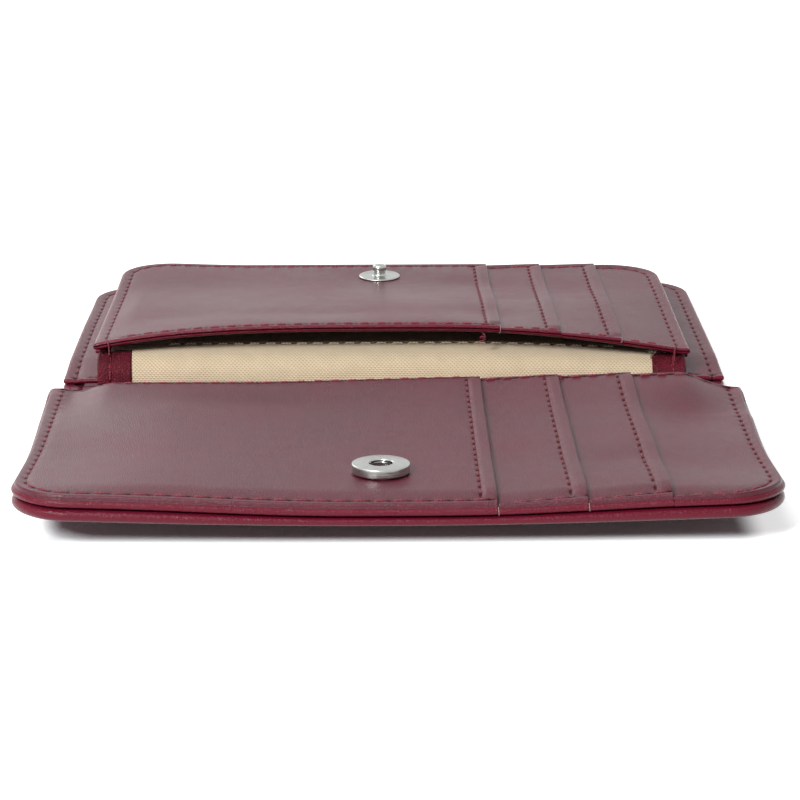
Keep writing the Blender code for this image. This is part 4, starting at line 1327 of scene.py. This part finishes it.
def turned(name, profile, spot, tilt, lift, body, closed, replaced, steps=96):
    """A body of revolution: a profile of radii and heights, turned, tilted about x and set down.

    A profile that ends on the axis is drawn to one point there; a closed one is a ring.
    """
    profile = np.asarray(profile, float)
    if closed:
        profile = np.concatenate([profile, profile[:1]])
    rows = len(profile)
    angle = np.linspace(0, 2 * np.pi, steps, endpoint=False)
    radius, height = profile[:, :1], profile[:, 1:]
    local = np.stack([radius * np.cos(angle), radius * np.sin(angle), height + 0 * angle + lift], axis=-1)
    index = np.arange(rows * steps).reshape(rows, steps)
    if closed:
        index[-1] = index[0]
    a, b = index[:-1], index[1:]
    quads = np.stack([a, b, np.roll(b, -1, axis=1), np.roll(a, -1, axis=1)], axis=-1).reshape(-1, 4)
    keep = np.arange(rows * steps)
    if not closed:
        keep[index[0]], keep[index[-1]] = index[0, 0], index[-1, 0]
    place = np.stack([radius + 0 * angle, height + 0 * angle, 0.3 * np.sin(angle) + 0 * radius], axis=-1)
    put_mesh(name, tilted(local, tilt, spot), keep[quads], NICKEL, {"turned_place": place}, body,
             replaced)


def smooth_profile(corners, radius, steps=5):
    """Rounds each inner corner of a profile: a parabola between two points a radius before and after it."""
    corners = np.asarray(corners, float)
    made = [corners[:1]]
    share = np.linspace(0, 1, steps)[:, None]
    for before, corner, after in zip(corners[:-2], corners[1:-1], corners[2:]):
        back, ahead = before - corner, after - corner
        reach_back = min(radius, 0.45 * np.linalg.norm(back))
        reach_ahead = min(radius, 0.45 * np.linalg.norm(ahead))
        p = corner + back / np.linalg.norm(back) * reach_back
        q = corner + ahead / np.linalg.norm(ahead) * reach_ahead
        made.append((1 - share) ** 2 * p + 2 * share * (1 - share) * corner + share**2 * q)
    made.append(corners[-1:])
    return np.concatenate(made)


snap_x, snap_seat = -2.6, 0.2
stud_v = PAGE["depth"] - 10.5
stud_height, stud_flange, stud_head, stud_neck = 2.4, 3.95, 1.33, 1.12


def slope_angle(leaf, top, v):
    """How a leaf's surface tilts about x at the snap, over four millimetres."""
    reach_v = 2.0
    ends = top(np.array([snap_x, snap_x]), np.array([v - reach_v, v + reach_v]))
    return math.atan((ends[1] - ends[0]) / (2 * reach_v) * leaf["sign"])


stud_spot = (snap_x, PAGE["start"] + stud_v, height_at(page_top, snap_x, stud_v))
stud_tilt = slope_angle(PAGE, page_top, stud_v)
stud_profile = smooth_profile(
    [(0, stud_height), (0.7 * stud_head, 0.97 * stud_height), (stud_head, 0.87 * stud_height),
     (stud_head, 0.5 * stud_height), (stud_neck, 0.43 * stud_height), (stud_neck, 0.24 * stud_height),
     (1.22 * stud_neck, 0.1 * stud_height), (2.5, 0.07 * stud_height),
     (0.9 * stud_flange, 0.13 * stud_height),
     (stud_flange, 0.08 * stud_height), (stud_flange, 0.0), (0, 0)], 0.3, 6)
turned("stud", stud_profile[::-1], stud_spot, stud_tilt, snap_seat, "page", False, "snap_stud")
rivet_flange, rivet_plate, rivet_pin = 3.4, 0.25, 0.9
rivet_top = -panel_ply - gap
rivet_foot = rivet_top - rivet_plate
rivet_profile = [(0, 0), (rivet_pin, 0), (rivet_pin, rivet_top), (rivet_flange, rivet_top),
                 (rivet_flange, rivet_foot), (0, rivet_foot)]
turned("stud_back_rivet", rivet_profile[::-1], stud_spot, stud_tilt, 0.0, "page", False, "stud_rivet")

cad_low, cad_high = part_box("snap_socket")
socket_y = (cad_low[1] + cad_high[1]) / 2 / MM
socket_v = FRONT["start"] - socket_y
socket_tilt = slope_angle(FRONT, front_top, socket_v)
socket_spot = (snap_x, socket_y, height_at(front_top, snap_x, socket_v))
socket_radius, socket_height, bore, cavity = 4.4, 1.5, 1.75, 2.9
ring_profile = smooth_profile(
    [(cavity, 0.4), (cavity, 0), (0.97 * socket_radius, 0), (socket_radius, 0.1),
     (socket_radius, 0.86 * socket_height), (0.97 * socket_radius, 0.93 * socket_height),
     (0.62 * socket_radius, socket_height), (bore + 0.15, 0.96 * socket_height), (bore, 0.9 * socket_height),
     (bore, 0.77 * socket_height), (cavity, 0.72 * socket_height), (cavity, 0.4)], 0.2, 6)
turned("socket_ring", ring_profile[:-1], socket_spot, socket_tilt, snap_seat, "front_cover", True,
       "snap_socket")
barrel = bore + 0.35
eyelet = [(bore, 0), (bore, rivet_foot), (rivet_flange, rivet_foot), (rivet_flange, rivet_top),
          (barrel, rivet_top), (barrel, 0)]
turned("socket_eyelet", eyelet, socket_spot, socket_tilt, 0.0, "front_cover", True, "socket_rivet")

wire, half_gap = 0.2, 1.54
reach_y = 0.85 * cavity
leg_end = math.sqrt(reach_y**2 - (half_gap + wire) ** 2)
bend = np.linspace(np.pi, 0, 25)
bend_y = reach_y - wire - half_gap
path_x = np.concatenate([np.full(12, -half_gap), half_gap * np.cos(bend), np.full(12, half_gap)])
leg = np.linspace(-leg_end, bend_y, 13)[:-1]
other_leg = np.linspace(bend_y, -leg_end, 13)[1:]
path_y = np.concatenate([leg, bend_y + half_gap * np.sin(bend), other_leg])
path = np.stack([path_x, path_y, np.full_like(path_x, snap_seat + 0.55 * socket_height)], axis=-1)


def wire_along(name, path, radius, spot, tilt, material, body, replaced=None, sides=12,
               upright=(0.0, 0, 1)):
    """A round wire along a path: a ring at each point, square to the path, with its ends drawn to a point."""
    ahead = np.gradient(path, axis=0)
    ahead /= np.linalg.norm(ahead, axis=1, keepdims=True)
    side = np.cross(ahead, np.tile(upright, (len(path), 1)))
    side /= np.linalg.norm(side, axis=1, keepdims=True)
    up = np.cross(side, ahead)
    angle = np.linspace(0, 2 * np.pi, sides, endpoint=False)
    ring = side[:, None] * np.cos(angle)[None, :, None] + up[:, None] * np.sin(angle)[None, :, None]
    first, last = path[:1, None] + 0 * ring[:1], path[-1:, None] + 0 * ring[-1:]
    rings = np.concatenate([first, path[:, None] + radius * ring, last])
    index = np.arange(rings.shape[0] * sides).reshape(-1, sides)
    a, b = index[:-1], index[1:]
    quads = np.stack([a, np.roll(a, -1, axis=1), np.roll(b, -1, axis=1), b], axis=-1).reshape(-1, 4)
    keep = np.arange(index.size)
    keep[index[0]], keep[index[-1]] = index[0, 0], index[-1, 0]
    run = np.concatenate([[0], np.cumsum(np.linalg.norm(np.diff(rings[:, 0], axis=0), axis=1))])
    strand = np.stack(np.broadcast_arrays(run[:, None], angle, 0.0), axis=-1)
    return put_mesh(name, tilted(rings, tilt, spot), keep[quads], material, {"strand": strand}, body,
                    replaced)


wire_along("socket_spring_wire", path, wire, socket_spot, socket_tilt, STEEL, "front_cover",
           "snap_spring")


# Loose ends: the page's side seams run out over its mouth and down to the facings, a pale thread shows over
# some beads where a slot's edge was sewn, one crimson end has sprung loose, and the twill frays at its cut.
PALE = thread_material("pale thread", (0.5, 0.33, 0.34))
FRAY = thread_material("frayed twill yarn", (0.55, 0.46, 0.34))


def loose_end(name, corners, radius, material, body, upright=(1.0, 0, 0)):
    """A thread through a few points in millimetres, rounded by three passes of cutting its corners."""
    path = np.asarray(corners, float)
    for _ in range(3):
        before, after = path[:-1], path[1:]
        cut = np.stack([0.75 * before + 0.25 * after, 0.25 * before + 0.75 * after], axis=1).reshape(-1, 3)
        path = np.concatenate([path[:1], cut, path[-1:]])
    thread = wire_along(name, path, radius, (0, 0, 0), 0.0, material, body, sides=8, upright=upright)
    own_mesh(thread)


page_y = PAGE["start"]
mouth_v = 0.8
for label, side, spread in (("left", -1, 0.0), ("right", 1, page_spread)):
    end_x = PAGE["middle"] + side * (half_page - SEAM_INSET)
    mouth_z = height_at(page_top, end_x, mouth_v)
    end_x = end_x + spread
    loose_end(
        f"page_{label}_seam_end",
        [(end_x, page_y + 1.7, mouth_z - 0.1), (end_x - 0.3 * side, page_y + 0.6, mouth_z + 0.2),
         (end_x - 0.6 * side, page_y - 0.25, mouth_z - 0.2),
         (end_x - 0.7 * side, page_y - 0.3, mouth_z - 1.2),
         (end_x - 0.7 * side, page_y - 0.5, mouth_z - 2.3)],
        0.13, CRIMSON, "page",
    )
for label, slot, hang in (("first", 32.9, 1.0), ("third", 11.7, 0.3)):
    thread_x = PAGE["middle"] + half_page - slot - 0.1
    mouth_z = height_at(page_top, thread_x, mouth_v)
    thread_x = thread_x + 0.7
    loose_end(
        f"page_{label}_slot_thread",
        [(thread_x, page_y + 1.3, mouth_z - 0.1), (thread_x, page_y + 0.5, mouth_z + 0.14),
         (thread_x, page_y - 0.12, mouth_z - 0.3),
         (thread_x, page_y - 0.1, mouth_z - 0.3 - 0.5 * hang),
         (thread_x - 0.2, page_y + 0.1, mouth_z - 0.3 - hang)],
        0.07, PALE, "page",
    )
for label, slot in (("first", 42.7), ("middle", 29.6)):
    thread_x = FRONT["width"] / 2 - slot + 0.05
    edge_z = height_at(front_top, thread_x, 66.6)
    edge_y = FRONT["start"] - FRONT["depth"]
    loose_end(
        f"front_{label}_slot_thread",
        [(thread_x, edge_y + 0.3, edge_z - 0.75), (thread_x, edge_y - 0.08, edge_z - 0.95),
         (thread_x + 0.05, edge_y - 0.1, edge_z - 1.4),
         (thread_x + 0.1, edge_y + 0.2, edge_z - 1.9)],
        0.07, PALE, "front_cover",
    )
knot_x = 15.4
knot_z = height_at(page_top, knot_x, mouth_v) - 1.5
loose_end(
    "loose_crimson_end",
    [(knot_x - 0.3, page_y + 0.9, knot_z + 0.2), (knot_x + 0.6, page_y + 0.2, knot_z - 0.5),
     (knot_x - 0.7, page_y, knot_z - 0.8),
     (knot_x - 0.2, page_y - 0.3, knot_z - 0.1), (knot_x + 0.5, page_y - 0.1, knot_z - 0.9),
     (knot_x - 1.0, page_y + 0.1, knot_z - 1.4)],
    0.12, CRIMSON, "page", upright=(0.1, 1.0, 0),
)
fray_x = PAGE["middle"] + half_page - facing_inset + page_spread - facing_width
for number, lean in enumerate((-0.9, -0.3, 0.5)):
    loose_end(
        f"twill_fray_{number}",
        [(fray_x - 0.3, 8.2, 5.4), (fray_x - 0.25 + 0.2 * lean, 7.4, 6.3), (fray_x + 0.5 * lean, 7.1, 6.9),
         (fray_x + lean, 7.4, 7.3)],
        0.035, FRAY, "page",
    )
